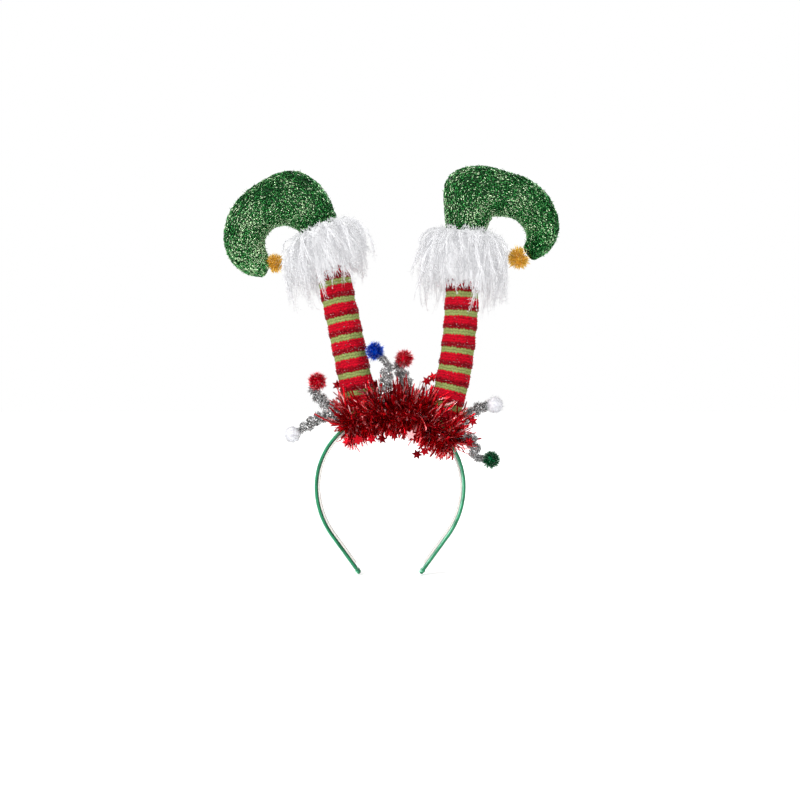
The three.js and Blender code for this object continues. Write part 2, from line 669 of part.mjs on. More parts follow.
add('band', band(), 'satin');
add('band_lining', lining(), 'lining');
for (const leg of LEGS) {
  const foot = stocking(leg).subtract(band(SEAT_GAP)).subtract(shoe(leg, SEAT_GAP).solid);
  add(`leg_${leg.name}`, mainBody(foot), 'stocking');
  add(`shoe_${leg.name}`, shoe(leg).solid, 'greenLurex');
  add(`fur_cuff_${leg.name}`, furCuff(leg), 'fur');
  add(`toe_pompom_${leg.name}`, toePompom(leg), 'goldFoil');
}
const springs = SPRINGS.map(spring);
for (const { row, centre, solid, socket } of springs) {
  add(`spring_${row.name}`, solid, 'silverFoil');
  add(`pompom_${row.name}`, mainBody(pompom(centre, POMPOM_RADIUS).subtract(socket)), row.colour);
}
add('tinsel_garland', tinselGarland(springs), 'redFoil');

export default headband;
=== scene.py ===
"""An elf headband: satin band, two stuffed elf legs with fur cuffs, tinsel garland and pompoms.

Lengths are in millimetres until a mesh is made, and +X is the viewer's right, +Y away from the
viewer and +Z up. Every surface is worked out with numpy from the sizes below, which are those of
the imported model.
"""

import math
from collections import namedtuple

import bpy
import numpy as np
from mathutils import Matrix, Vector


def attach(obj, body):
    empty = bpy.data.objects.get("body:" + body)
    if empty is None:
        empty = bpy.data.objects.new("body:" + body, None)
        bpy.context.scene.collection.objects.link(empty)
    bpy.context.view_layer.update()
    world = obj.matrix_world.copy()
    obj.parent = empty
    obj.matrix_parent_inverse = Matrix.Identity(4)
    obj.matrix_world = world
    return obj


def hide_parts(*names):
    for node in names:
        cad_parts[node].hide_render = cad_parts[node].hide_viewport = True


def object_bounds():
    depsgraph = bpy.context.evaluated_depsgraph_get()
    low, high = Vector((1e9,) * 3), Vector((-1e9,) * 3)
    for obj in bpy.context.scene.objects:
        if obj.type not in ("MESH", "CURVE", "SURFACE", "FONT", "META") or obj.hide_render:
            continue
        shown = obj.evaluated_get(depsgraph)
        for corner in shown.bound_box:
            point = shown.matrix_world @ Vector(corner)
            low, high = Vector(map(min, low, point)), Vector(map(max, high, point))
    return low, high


bl_info = {
    "name": "Elf Headband",
    "version": (1, 0, 0),
    "blender": (4, 5, 0),
    "location": "View3D > Sidebar > Headband",
    "description": "Knits, winds and trims an elf headband round its packed model",
    "category": "Object",
}

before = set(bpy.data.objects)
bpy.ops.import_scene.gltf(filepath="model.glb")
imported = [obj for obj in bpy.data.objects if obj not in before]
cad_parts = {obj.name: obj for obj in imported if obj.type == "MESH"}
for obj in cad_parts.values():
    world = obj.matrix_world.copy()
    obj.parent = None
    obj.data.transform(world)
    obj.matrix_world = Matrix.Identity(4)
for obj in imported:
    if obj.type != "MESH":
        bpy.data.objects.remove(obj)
CAD_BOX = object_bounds()
MM = 0.001
TURN = 2 * math.pi
SEEDS = {"stockings": 100, "shoes": 200, "cuffs": 300, "toe_pompoms": 400, "springs": 500, "garland": 600}
UP = np.array([0.0, 0.0, 1.0])
BACK = np.array([0.0, 1.0, 0.0])

# Hair band and its lining
SEAT_GAP = 0.3
CROWN_RADIUS = 65
SIDE_RADIUS = 73
SIDE_BEND = math.radians(36)
TAIL_LENGTH = 40
BAND_THICKNESS = 3.2
BAND_WIDTH = 10
TAIL_WIDTH = 6.6
KNOB_THICKNESS = 4.8
KNOB_LENGTH = 4.5
LINING_THICKNESS = 0.9
LINING_WIDTH = 8.6
LINING_TAIL_WIDTH = 5.2
LINING_SETBACK = 9
LINING_PILE = 1.8
LINING_SEAM = 0.05
CROWN_CENTRE = LINING_THICKNESS + SEAT_GAP + BAND_THICKNESS - CROWN_RADIUS
GROOVE_DEPTH = 0.7
GROOVE_SHARE = 0.12  # of a knob's length
# The front rim's two corners round the section, outer then inner, and how wide the painted shine and
# painted shade on them are
FRONT_CORNERS = (math.radians(322), math.radians(226))
CORNER_SPREAD = 0.62

# Stuffed legs, with their stripes counted in knitted rows
LEG_LENGTH = 157
LEG_RADIUS = 14.4
LEG_MARGIN = 2
LEG_SINK = 1.2
STRIPE_PITCH = 16
FIRST_STRIPE = 21
STRIPE_SWELL = 0.5
ROWS_PER_STRIPE = 7
GREEN_ROWS = 2
LUREX_ROWS = 1.8
ROW_HEIGHT = STRIPE_PITCH / ROWS_PER_STRIPE
FIRST_ROW = FIRST_STRIPE - GREEN_ROWS * ROW_HEIGHT / 2
STITCH_SLANT = 0.45
RINGS_PER_ROW = 4
SIDES_PER_WALE = 5
LEG_SPREAD = math.degrees(LEG_RADIUS / CROWN_RADIUS) + LEG_MARGIN

# Stuffed shoes
SHOE_LENGTH = 100
SHOE_RISE = 50.7
SHOE_GIRTH = 38.4
SHOE_DEPTH = 34
COLLAR_LENGTH = 16
TOE_ROUNDING = 4
TIP_SHARE = 0.02
SHOE_RINGS = 111
SHOE_SIDES = 64
STITCH_SHARE = 0.86  # of a stitch's width, from one row to the next

# The shoes' stuffing: the coarse copy's rings and sides, its solving, and the limits of its moves
STUFFING_RINGS = 50
STUFFING_SIDES = 32
STUFFING_PRESSURE = 10
STUFFING_FRAMES = 20
SWELL_CAP = 1.2
SWELL_FADE = 0.16

# Fur cuffs
CUFF_DROP = 8
CUFF_SAG = {"left": 0, "right": 4}
CUFF_BACKING_HEIGHT = 9
CUFF_BACKING_THICKNESS = 2.4
LOCK_FLARE = 20
LOCK_FALL = 54
LOOSE_SHARE = 0.22  # of the locks are short and stick out
LOCK_SPREAD = np.array([0.5, 1.2, 1.3, 1.1])  # how far hairs stray at a lock's control points
GOLDEN_SHARE = 0.618034  # of a turn, from one lock to the next
PARTING = 5  # how far the front locks are drawn aside
HAIR_POINTS = 8
HAIR_CRINKLE = 0.35
POMPOM_ROOM = 1.8  # free of hairs round the toe's pompom
FULL_PILE = 33  # the pile at which the locks fall by LOCK_FALL
# The pile's section round the ankle: distance from the shoe's middle, and height
PILE_SECTION = np.array([
    (20.8, 4.5), (22.6, 4), (25, 0), (27.4, -7), (28, -15), (26.5, -22), (23, -27), (19.5, -29),
    (17, -26), (16.6, -18), (16.8, -9), (18.6, -2), (19.6, 2),
])

# Garland
GARLAND_MARGIN = 2.5
GARLAND_RADIUS = 24
GARLAND_FAN = 0.8
BACKING_WALL = 1.5
BACKING_HALF_WIDTH = BAND_WIDTH / 2 + SEAT_GAP + BACKING_WALL
BACKING_HALF_HEIGHT = (BAND_THICKNESS + LINING_THICKNESS + 3 * SEAT_GAP) / 2 + BACKING_WALL
BACKING_MIDDLE = SEAT_GAP + BACKING_WALL - BACKING_HALF_HEIGHT
BACKING_SQUARENESS = 0.7
STRIP_PLACES = np.array([0, 0.25, 0.5, 0.75, 0.95, 1])  # shares of a strip's curve
STRIP_REACH = (0.76, 1.24)  # shares of the garland's radius
STRIP_BOW = 2.6
STRIP_TURN = 6
STRIP_CRINKLE = 0.16
LEG_ROOM = (0.9, 1.8)  # what strips leave free round a leg, and what chance adds
STAR_POINTS = 6
STAR_WAIST = 0.5

# Springs and pompoms
SPRING_REACH = 40
COIL_RADIUS = 3
COIL_PITCH = 6.2
POMPOM_RADIUS = 7.2
POMPOM_GRIP = 3.2
RINGS_PER_TURN = 30
BARE_CONE = math.radians(40)  # about a pompom's seat, free of strips
WIRE_RADIUS = 1.1
# Shares of the springs' bristles and of the pompoms' strips that carry a painted glint
BRIGHT_BRISTLES = 0.3
BRIGHT_STRIPS = 0.16

# The two legs. Angles are in degrees and lean outwards, chord is a share of LEG_LENGTH, and pile is
# how far a cuff's thick pile hangs. A shoe's sections run from ankle to toe: toe, rise, heading,
# girth and depth, as shares of the sizes above.
Leg = namedtuple(
    "Leg",
    "name out band_angle foot_lean chord chord_lean ankle_lean shoe_lean"
    " pompom_radius pompom_lean pile sections",
)
LEGS = (
    Leg("left", -1, 21.3, 12, 0.969, 12.3, 14.5, 22.6, 7.3, 176, 32, (
        (-0.005, 0.09, 88, 0.89, 1.0),
        (0.034, 0.432, 52, 1.135, 1.07),
        (0.142, 0.647, 25, 1.2, 1.06),
        (0.331, 0.673, -2, 1.027, 1.02),
        (0.464, 0.605, -16, 0.99, 0.98),
        (0.58, 0.444, -37, 0.937, 0.93),
        (0.645, 0.212, -61, 0.874, 0.86),
        (0.653, -0.025, -78, 0.785, 0.76),
        (0.622, -0.195, -99, 0.583, 0.6),
        (0.57, -0.29, -131, 0.37, 0.42),
    )),
    Leg("right", 1, 39.3, 24, 1.027, 8.45, 3.5, 6.3, 8.6, -146, 38, (
        (-0.004, 0.13, 88, 0.99, 1.03),
        (-0.004, 0.46, 50, 1.3, 1.09),
        (0.12, 0.59, 18, 1.165, 1.06),
        (0.284, 0.588, 0, 1.0, 1.0),
        (0.43, 0.542, -16, 0.92, 0.94),
        (0.542, 0.415, -40, 0.86, 0.88),
        (0.632, 0.195, -65, 0.776, 0.8),
        (0.654, -0.017, -92, 0.68, 0.69),
        (0.628, -0.195, -118, 0.547, 0.56),
        (0.572, -0.33, -138, 0.372, 0.4),
    )),
)

# The springs: the leg they stand beside, its outside or inside, degrees further along the crown,
# how far to the front they leave the garland, and the shares that give their bend, tip and pompom.
Spring = namedtuple("Spring", "name beside outside shift front bend tip away colour")
SPRINGS = tuple(Spring(*row) for row in (
    ("left_upper", 0, 1, 0, 0.5, (-0.29, -0.14, 0.34), (-0.69, -0.16, 0.7), (0.75, -0.42, 1.1), "red"),
    ("left_lower", 0, 1, 0, -0.5, (-0.27, 0.07, 0.42), (-0.93, 0.07, -0.15), (-1.1, -0.14, -0.5), "white"),
    ("centre_blue", 0, -1, 1, 0.6, (0.08, -0.1, 0.4), (0.11, -0.22, 0.97), (-1.5, -0.28, 1.4), "blue"),
    ("centre_red", 0, -1, 19, -0.6, (0.15, 0.05, 0.55), (-0.24, 0, 0.96), (1, -0.42, 0.83), "red"),
    ("right_upper", 1, 1, 0, -0.7, (0.24, 0.16, 0.56), (0.73, 0.08, 0.78), (1, -0.14, -0.08), "white"),
    ("right_lower", 1, 1, 0, 0.7, (0.44, -0.13, 0.3), (0.46, -0.1, -0.37), (1.87, 0, -0.14), "green"),
))

# Stars that show at the garland's edge: degrees along the crown, height above the band's outer
# face, distance to the back, how far each is turned in its own plane, and its tone, which is
# painted shade on most of them and a painted highlight on the palest.
STARS = (
    (-42.5, -11.9, -19, 10, 0.12),
    (-33.6, -16.1, -21, 40, 0.2),
    (-20.5, -20.5, -18, 25, 0.3),
    (-9.3, -22.9, -18, 5, 0.05),
    (5.2, -20.5, -20, 30, 0.1),
    (21.0, -16.9, -23, 15, 0.85),
    (39.2, -28.7, -10, 50, 0),
    (43.1, -22.1, -18, 20, 0.1),
    (-27.7, 33.4, 7, 35, 0.1),
    (19.3, 31.0, 3, 10, 0.15),
    (21.4, 36.0, 6, 45, 0.1),
    (51.4, 25.1, -8, 25, 0.1),
    (59.8, 12.5, -15, 5, 0.05),
    (-38.0, 4.0, 22, 15, 0.2),
    (-24.0, -16.0, 13, 35, 0.1),
    (-8.0, 12.0, 22, 50, 0.3),
    (3.0, -19.0, 10, 20, 0.1),
    (17.0, 16.0, 20, 0, 0.2),
    (31.0, -12.0, 20, 30, 0.3),
    (50.0, 8.0, 22, 40, 0.1),
)


def dyed(red, green, blue):
    """A colour as Blender mixes it, from its red, green and blue on a scale of 255."""
    share = np.array([red, green, blue]) / 255
    linear = np.where(share <= 0.04045, share / 12.92, ((share + 0.055) / 1.055) ** 2.4)
    return tuple(float(x) for x in linear)


def colour(name, description, red, green, blue):
    return bpy.props.FloatVectorProperty(
        name=name, description=description, default=dyed(red, green, blue), subtype="COLOR", min=0, max=1
    )


def length(name, description, millimetres):
    return bpy.props.FloatProperty(
        name=name, description=description, default=millimetres * MM, subtype="DISTANCE",
        unit="LENGTH", min=0.0001, precision=5,
    )


def count(name, description, default):
    return bpy.props.IntProperty(name=name, description=description, default=default, min=3)


class HeadbandSizes(bpy.types.PropertyGroup):
    """Sizes of the yarn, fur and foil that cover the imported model."""

    leg_wales: count("Leg Wales", "Stitches round a stocking", 30)
    leg_relief: length("Leg Relief", "Height of a stocking's stitches", 1.0)
    lurex_loops: count("Lurex Loops", "Sparkling loops on each dark stripe of a stocking", 200)
    shoe_stitch: length("Shoe Stitch", "Width of a shoe's stitches", 2.3)
    shoe_thread: length("Shoe Thread", "Width of a shoe's lurex thread", 1.35)
    fur_locks: count("Fur Locks", "Locks in a cuff", 180)
    lock_hairs: count("Lock Hairs", "Hairs in a lock", 8)
    fur_barbs: count("Fur Barbs", "Short hairs that branch off a cuff's locks", 9400)
    pile_hairs: count("Pile Hairs", "Short hairs of a cuff's thick pile", 2200)
    fur_width: length("Fur Width", "Width of a hair", 0.6)
    garland_strips: count("Garland Strips", "Foil strips in the garland", 2900)
    strip_width: length("Strip Width", "Width of a foil strip", 1.5)
    star_radius: length("Star Radius", "From a star's middle to its points", 5.0)
    bristles: count("Bristles", "Foil bristles on a spring", 3300)
    bristle_length: length("Bristle Length", "From a spring's wire to its bristles' tips", 4.5)
    pompom_strips: count("Pompom Strips", "Strips in a pompom", 1000)


class HeadbandColours(bpy.types.PropertyGroup):
    """Colours of the headband's finishes and of the floor."""

    satin: colour("Satin", "Ribbon that covers the band", 36, 146, 98)
    # Satin Shade is painted shade, in the creases and on the side away from the light, and Satin Light a
    # painted highlight along the fold.
    satin_shade: colour("Satin Shade", "Ribbon in its creases", 10, 82, 54)
    satin_light: colour("Satin Light", "Ribbon along the fold that catches the light", 176, 250, 218)
    lining: colour("Lining", "Tape inside the band", 244, 240, 234)
    knit_green: colour("Knit Green", "Green stripes of the stockings", 156, 170, 98)
    knit_red: colour("Knit Red", "Red stripes of the stockings", 208, 4, 36)
    knit_dark: colour("Knit Dark", "Ground under the stockings' lurex", 150, 0, 22)
    lurex_red: colour("Lurex Red", "Sparkling loops of the stockings", 196, 10, 40)
    lurex_green: colour("Lurex Green", "Sparkling thread of the shoes", 66, 162, 80)
    # Lurex Shade is the darkest thread, in random patches and in painted shade away from the light, and
    # Lurex Glint a painted glint and highlight.
    lurex_shade: colour("Lurex Shade", "Darkest thread of the shoes", 14, 84, 34)
    lurex_glint: colour("Lurex Glint", "Brightest thread of the shoes", 232, 255, 212)
    shoe_ground: colour("Shoe Ground", "Ground under the shoes' lurex", 12, 66, 24)
    fur: colour("Fur", "Eyelash fringe", 243, 243, 245)
    gold: colour("Gold", "Foil of the toes' pompoms", 255, 210, 84)
    silver: colour("Silver", "Foil of the springs", 208, 208, 208)
    foil_red: colour("Foil Red", "Foil of the garland", 240, 4, 34)
    pompom_red: colour("Pompom Red", "Red pompoms", 244, 8, 56)
    pompom_white: colour("Pompom White", "White pompoms", 236, 236, 241)
    pompom_blue: colour("Pompom Blue", "Blue pompom", 0, 96, 230)
    pompom_green: colour("Pompom Green", "Green pompom", 0, 128, 74)
    floor: colour("Floor", "Studio floor", 246, 246, 246)


def sizes():
    return bpy.context.scene.headband_sizes


def in_mm(key):
    """One of the headband's lengths, in millimetres."""
    return getattr(sizes(), key) / MM


def colours():
    return bpy.context.scene.headband_colours


def unit(vectors):
    """Vectors divided by their own lengths."""
    return vectors / np.maximum(np.linalg.norm(vectors, axis=-1, keepdims=True), 1e-9)


def along_last(numbers, direction):
    """Numbers times one direction, as vectors."""
    return np.asarray(numbers)[..., None] * direction


def leaning(degrees):
    """The unit vector in the band's plane at an angle from straight up towards +X."""
    angle = np.radians(degrees)
    return np.stack([np.sin(angle), 0 * angle, np.cos(angle)], axis=-1)


def on_crown(degrees, height):
    """The crown's middle plus the leaning direction times the crown's radius and a height."""
    return leaning(degrees) * (CROWN_RADIUS + np.asarray(height, float))[..., None] + CROWN_CENTRE * UP


def flattened(value, square):
    """A cosine or sine raised to a power under 1, so that an oval nears a rectangle."""
    return np.sign(value) * np.abs(value) ** square


def bezier(controls, shares):
    """Bernstein's sum: each control point times n over k, share to the k and 1 - share to the n - k.

    controls is (..., points, 3), and the result is (..., shares, 3).
    """
    degree = controls.shape[-2] - 1
    weights = [math.comb(degree, k) * shares**k * (1 - shares) ** (degree - k) for k in range(degree + 1)]
    return np.stack(weights, axis=-1) @ controls


def read_off(place, grid, line):
    """A line's points at places between its grid's numbers, in straight lines."""
    return np.stack([np.interp(place, grid, line[:, axis]) for axis in range(3)], -1)


def smooth_rows(table, share):
    """The Catmull-Rom curve through a table's rows, at shares from 0 to 1 of its stretches."""
    rows = np.vstack([2 * table[0] - table[1], table, 2 * table[-1] - table[-2]])
    place = np.asarray(share) * (len(table) - 1)
    first = np.clip(place.astype(int), 0, len(table) - 2)
    f = (place - first)[..., None]
    a, b, c, d = (rows[first + k] for k in range(4))
    return b + 0.5 * f * (c - a + f * (2 * a - 5 * b + 4 * c - d + f * (3 * (b - c) + d - a)))


def even_steps(line, number):
    """Shares of a densely sampled line at equal distances along it."""
    steps = np.linalg.norm(np.diff(line, axis=0), axis=1)
    distance = np.concatenate([[0], np.cumsum(steps)])
    shares = np.linspace(0, 1, len(line))
    return np.interp(np.linspace(0, distance[-1], number), distance, shares)


def ripple(points, size, seed):
    """The mean of eight sine waves of one length that cross at random, from about -1 to 1."""
    rng = np.random.default_rng(seed)
    waves = unit(rng.normal(size=(8, points.shape[-1]))) * TURN / size
    phases = rng.uniform(0, TURN, 8)
    return np.sin(points @ waves.T + phases).mean(axis=-1) * 2


# Part: points in millimetres, arrays of face corners, one tone for each point, the number of its
# material on the piece, and arrays of UV corners that match the faces or None.
Part = namedtuple("Part", "points faces tone finish uv")


def ring_quads(rings, sides, corner):
    """Quads from each ring of points to the next, where corner gives a point's number."""
    i, k = np.meshgrid(np.arange(rings), np.arange(sides), indexing="ij")
    quads = [corner(i, k), corner(i, k + 1), corner(i + 1, k + 1), corner(i + 1, k)]
    return np.stack(quads, -1).reshape(-1, 4)


def tube(grid, start, end, tone=0.5, finish=0, uv=None):
    """A closed skin over rings of points: quads between rings and fans to the two end points.

    grid is (rings, sides, 3), counterclockwise about its own direction, and uv is the grid of
    (rings, sides + 1, 2) that its corners read.
    """
    rings, sides = grid.shape[:2]

    def corner(ring, side):
        return ring * sides + side % sides

    k = np.arange(sides)
    tip = np.full(sides, rings * sides)
    faces = [
        ring_quads(rings - 1, sides, corner),
        np.stack([tip, corner(0, k + 1), corner(0, k)], -1),
        np.stack([corner(rings - 1, k), corner(rings - 1, k + 1), tip + 1], -1),
    ]
    mapped = None
    if uv is not None:
        quads = np.stack([uv[:-1, :-1], uv[:-1, 1:], uv[1:, 1:], uv[1:, :-1]], 2)
        fans = [np.stack([row[:-1], row[1:], row[:-1]], 1) for row in (uv[0], uv[-1])]
        mapped = [quads.reshape(-1, 4, 2), *fans]
    points = np.vstack([grid.reshape(-1, 3), start, end])
    tones = np.broadcast_to(np.asarray(tone, float), len(points))
    return facing_out(Part(points, faces, tones, finish, mapped))


def hoop(grid, tone=0.5):
    """A closed ring's skin: quads between sections that meet at both ends of both parameters."""
    rings, sides = grid.shape[:2]

    def corner(ring, side):
        return ring % rings * sides + side % sides

    points = grid.reshape(-1, 3)
    quads = ring_quads(rings, sides, corner)
    return facing_out(Part(points, [quads], np.full(len(points), tone), 0, None))


def threads(lines, across, widths, thickness, tone, finish=0):
    """Thin closed threads, each a flat triangle carried along its own line between two pointed ends.

    lines is (threads, points, 3). A section has two edges, half a width to either side along
    across, and a ridge half a thickness above them, all square to the line. tone is one number for
    each thread, or for each of its points.
    """
    number, steps = lines.shape[:2]
    heading = unit(np.gradient(lines, axis=1))[:, 1:-1]
    across = np.broadcast_to(across[:, None], heading.shape)
    side = unit(across - (across * heading).sum(-1, keepdims=True) * heading)
    lift = np.cross(heading, side)
    widths = np.broadcast_to(widths, (number, steps))[:, 1:-1]
    angles = TURN * (np.arange(3) / 3 + 0.25)
    rings = (
        lines[:, 1:-1, None]
        + (side * widths[..., None] / 2)[:, :, None] * np.cos(angles)[:, None]
        + (lift * thickness / 2)[:, :, None] * np.sin(angles)[:, None]
    )
    points = np.concatenate([lines[:, :1], rings.reshape(number, -1, 3), lines[:, -1:]], 1)
    size = points.shape[1]
    base = size * np.arange(number)[:, None, None]

    def corner(step, k):
        return base + 1 + 3 * step + k % 3

    k = np.arange(3)[None, :]
    tip = base + 0 * k
    last = steps - 3
    faces = [
        ring_quads(last, 3, corner),
        np.stack([tip, corner(0, k + 1), corner(0, k)], -1).reshape(-1, 3),
        np.stack([corner(last, k), corner(last, k + 1), tip + size - 1], -1).reshape(-1, 3),
    ]
    tones = np.broadcast_to(np.reshape(tone, (number, -1)), (number, steps))
    tones = np.concatenate([tones[:, :1], np.repeat(tones[:, 1:-1], 3, axis=1), tones[:, -1:]], 1)
    return Part(points.reshape(-1, 3), faces, tones.ravel(), finish, None)


def glinting(rng, tones, places, share, reach):
    """Tones for each point of some threads, of which a share shine along one short stretch.

    The stretch is a painted highlight: a bell curve of a reach about a random place on the thread.
    """
    tones = tones[:, None]
    middle = rng.uniform(places[0], places[-1], tones.shape)
    lit = (rng.random(tones.shape) < share) * np.exp(-(((places - middle) / reach) ** 2))
    return tones + (1 - tones) * lit


def facing_out(part):
    """A closed skin with its faces turned round where the volume that they enclose is negative."""
    volume = 0
    for faces in part.faces:
        corners = part.points[faces]
        for k in range(1, faces.shape[1] - 1):
            volume += (corners[:, 0] * np.cross(corners[:, k], corners[:, k + 1])).sum()
    if volume > 0:
        return part
    turned = [faces[:, ::-1] for faces in part.faces]
    mapped = part.uv and [corners[:, ::-1] for corners in part.uv]
    return part._replace(faces=turned, uv=mapped)


def ball(centre, radius, seed, sides=20, rings=11):
    """A sphere's grid, its radius varied by ripples."""
    polar = np.pi * (np.arange(rings) + 1) / (rings + 1)
    around = TURN * np.arange(sides) / sides
    out = np.stack(
        [
            np.sin(polar)[:, None] * np.cos(around),
            np.sin(polar)[:, None] * np.sin(around),
            -np.cos(polar)[:, None] * np.ones(sides),
        ],
        -1,
    )
    swelled = 1 + 0.05 * ripple(out, 0.7, seed)
    grid = centre + radius * out * swelled[..., None]
    return tube(grid, centre - radius * UP, centre + radius * UP)


def add_piece(name, parts, finishes, node, smooth=True):
    """One mesh object of several parts, at the origin, that rides on the root and stands for a node."""
    mesh = bpy.data.meshes.new(name)
    points = np.vstack([part.points for part in parts]) * MM
    firsts = np.cumsum([0] + [len(part.points) for part in parts])
    blocks = [
        (part.finish, faces + first, part.uv[n] if part.uv else np.zeros((faces.size, 2)))
        for part, first in zip(parts, firsts)
        for n, faces in enumerate(part.faces)
    ]
    corners = np.concatenate([faces.ravel() for _, faces, _ in blocks])
    totals = np.concatenate([np.full(len(faces), faces.shape[1]) for _, faces, _ in blocks])
    finish = np.concatenate([np.full(len(faces), number) for number, faces, _ in blocks])
    uv = np.concatenate([places.reshape(-1, 2) for _, _, places in blocks])
    mesh.vertices.add(len(points))
    mesh.vertices.foreach_set("co", points.ravel().astype(np.float32))
    mesh.loops.add(len(corners))
    mesh.loops.foreach_set("vertex_index", corners.astype(np.int32))
    mesh.polygons.add(len(totals))
    mesh.polygons.foreach_set("loop_start", np.concatenate([[0], np.cumsum(totals)[:-1]]).astype(np.int32))
    mesh.polygons.foreach_set("material_index", finish.astype(np.int32))
    mesh.polygons.foreach_set("use_smooth", np.full(len(totals), smooth))
    mesh.uv_layers.new(name="weave").data.foreach_set("uv", uv.ravel().astype(np.float32))
    tone = mesh.attributes.new("tone", "FLOAT", "POINT")
    tone.data.foreach_set("value", np.concatenate([part.tone for part in parts]).astype(np.float32))
    for material in finishes:
        mesh.materials.append(material)
    mesh.update(calc_edges=True)
    piece = bpy.data.objects.new(name, mesh)
    bpy.context.scene.collection.objects.link(piece)
    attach(piece, "root")
    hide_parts(node)
    return piece


def add_node(tree, kind, settings=(), **inputs):
    """A shader node with its settings, and each input set to a value or linked to a socket.

    An underscore in an input's name stands for a space, and a number after n for its place.
    """
    node = tree.nodes.new(kind)
    for key, value in dict(settings).items():
        setattr(node, key, value)
    for key, value in inputs.items():
        socket = node.inputs[int(key[1:])] if key[1:].isdigit() else node.inputs[key.replace("_", " ")]
        if isinstance(value, bpy.types.NodeSocket):
            tree.links.new(value, socket)
        else:
            socket.default_value = (*value, 1) if socket.type == "RGBA" and len(value) == 3 else value
    return node


def remap(tree, value, low, high, to_low=0.0, to_high=1.0):
    """A value's stretch from low to high, laid on another stretch and held inside it."""
    return add_node(
        tree, "ShaderNodeMapRange", Value=value, From_Min=low, From_Max=high, To_Min=to_low, To_Max=to_high
    ).outputs[0]


def maths(tree, operation, *values):
    """What a Math node makes of its values and sockets."""
    inputs = {f"n{k}": value for k, value in enumerate(values)}
    return add_node(tree, "ShaderNodeMath", {"operation": operation}, **inputs).outputs[0]


def blended(tree, share, low, high):
    """Two colours mixed by a share."""
    return add_node(tree, "ShaderNodeMixRGB", n0=share, n1=low, n2=high).outputs[0]


def noise(tree, place, scale, detail, roughness=0.5):
    """Noise from about 0 to 1 at a place."""
    return add_node(
        tree, "ShaderNodeTexNoise", Vector=place, Scale=scale, Detail=detail, Roughness=roughness
    ).outputs[0]


def weave_uv(tree):
    """The mesh's own UV."""
    return add_node(tree, "ShaderNodeUVMap", {"uv_map": "weave"}).outputs[0]


def scaled(tree, place, across, along):
    """A UV place stretched across and along."""
    return add_node(tree, "ShaderNodeMapping", Vector=place, Scale=(across, along, 1.0)).outputs[0]


def mesh_tone(tree):
    """The mesh's own tone, from 0 to 1."""
    return add_node(tree, "ShaderNodeAttribute", {"attribute_name": "tone"}).outputs["Fac"]


def place_group(tree, group, **inputs):
    """A node of a group, with a material's own values for its inputs."""
    return add_node(tree, "ShaderNodeGroup", {"node_tree": group}, **inputs)


def new_group(name, inputs, output, kind):
    """An empty shader node group with named sockets. Returns it and its inner input and output."""
    group = bpy.data.node_groups.new(name, "ShaderNodeTree")
    for label, (socket_kind, default) in inputs.items():
        socket = group.interface.new_socket(label, in_out="INPUT", socket_type=socket_kind)
        socket.default_value = default
    group.interface.new_socket(output, in_out="OUTPUT", socket_type=kind)
    return group, group.nodes.new("NodeGroupInput"), group.nodes.new("NodeGroupOutput")


def tone_group():
    """Colour by the thread's own tone: dark below a half, the middle colour, then light above."""
    if "thread_tone" in bpy.data.node_groups:
        return bpy.data.node_groups["thread_tone"]
    labels = ("Dark", "Middle", "Light")
    inputs = {label: ("NodeSocketColor", (0.5, 0.5, 0.5, 1)) for label in labels}
    group, inner, outer = new_group("thread_tone", inputs, "Color", "NodeSocketColor")
    dark, middle, light = (inner.outputs[label] for label in labels)
    tone = mesh_tone(group)
    mix = blended(group, remap(group, tone, 0.0, 0.5), dark, middle)
    mix = blended(group, remap(group, tone, 0.5, 1.0), mix, light)
    group.links.new(mix, outer.inputs["Color"])
    return group


def grain_group():
    """Fine grain in object space: a coarse and a fine noise added by a share."""
    if "fine_grain" in bpy.data.node_groups:
        return bpy.data.node_groups["fine_grain"]
    inputs = {"Scale": ("NodeSocketFloat", 800.0), "Fine Share": ("NodeSocketFloat", 0.4)}
    group, inner, outer = new_group("fine_grain", inputs, "Height", "NodeSocketFloat")
    place = group.nodes.new("ShaderNodeTexCoord").outputs["Object"]
    scale = inner.outputs["Scale"]
    coarse = noise(group, place, scale, 2.0)
    fine = noise(group, place, maths(group, "MULTIPLY", scale, 4.3), 2.0)
    mix = add_node(group, "ShaderNodeMix", n0=inner.outputs["Fine Share"], n2=coarse, n3=fine)
    group.links.new(mix.outputs[0], outer.inputs["Height"])
    return group


def grained(tree, scale, **inputs):
    """The grain group's height at a scale."""
    return place_group(tree, grain_group(), Scale=scale, **inputs).outputs["Height"]


def new_material(name, **constants):
    """A material with a Principled shader whose named sockets are set. Returns it, its tree and shader."""
    material = bpy.data.materials.new(name)
    material.use_nodes = True
    tree = material.node_tree
    shader = tree.nodes["Principled BSDF"]
    for key, value in constants.items():
        socket = shader.inputs[key.replace("_", " ")]
        socket.default_value = (*value, 1) if socket.type == "RGBA" else value
    return material, tree, shader


def finish_material(tree, shader, tint, height, depth):
    """Links a material's colour, and a bump of a height that is so many metres deep."""
    tree.links.new(tint, shader.inputs["Base Color"])
    bump = add_node(tree, "ShaderNodeBump", Height=height, Distance=depth, Strength=1.0)
    tree.links.new(bump.outputs["Normal"], shader.inputs["Normal"])


def shade(tint, factor):
    """A colour made darker by a factor under 1, or lighter by one over 1."""
    return tuple(min(1.0, x * factor) for x in tint)


def paler(tint, share):
    """A colour moved towards white."""
    return tuple(x + (1 - x) * share for x in tint)


def toned_material(name, dark, middle, light, grain_scale, grain_depth, **constants):
    """Threads, strips or hair: the tone group colours them and the grain group roughens them."""
    material, tree, shader = new_material(name, **constants)
    tones = place_group(tree, tone_group(), Dark=dark, Middle=middle, Light=light)
    finish_material(tree, shader, tones.outputs["Color"], grained(tree, grain_scale), grain_depth)
    return material


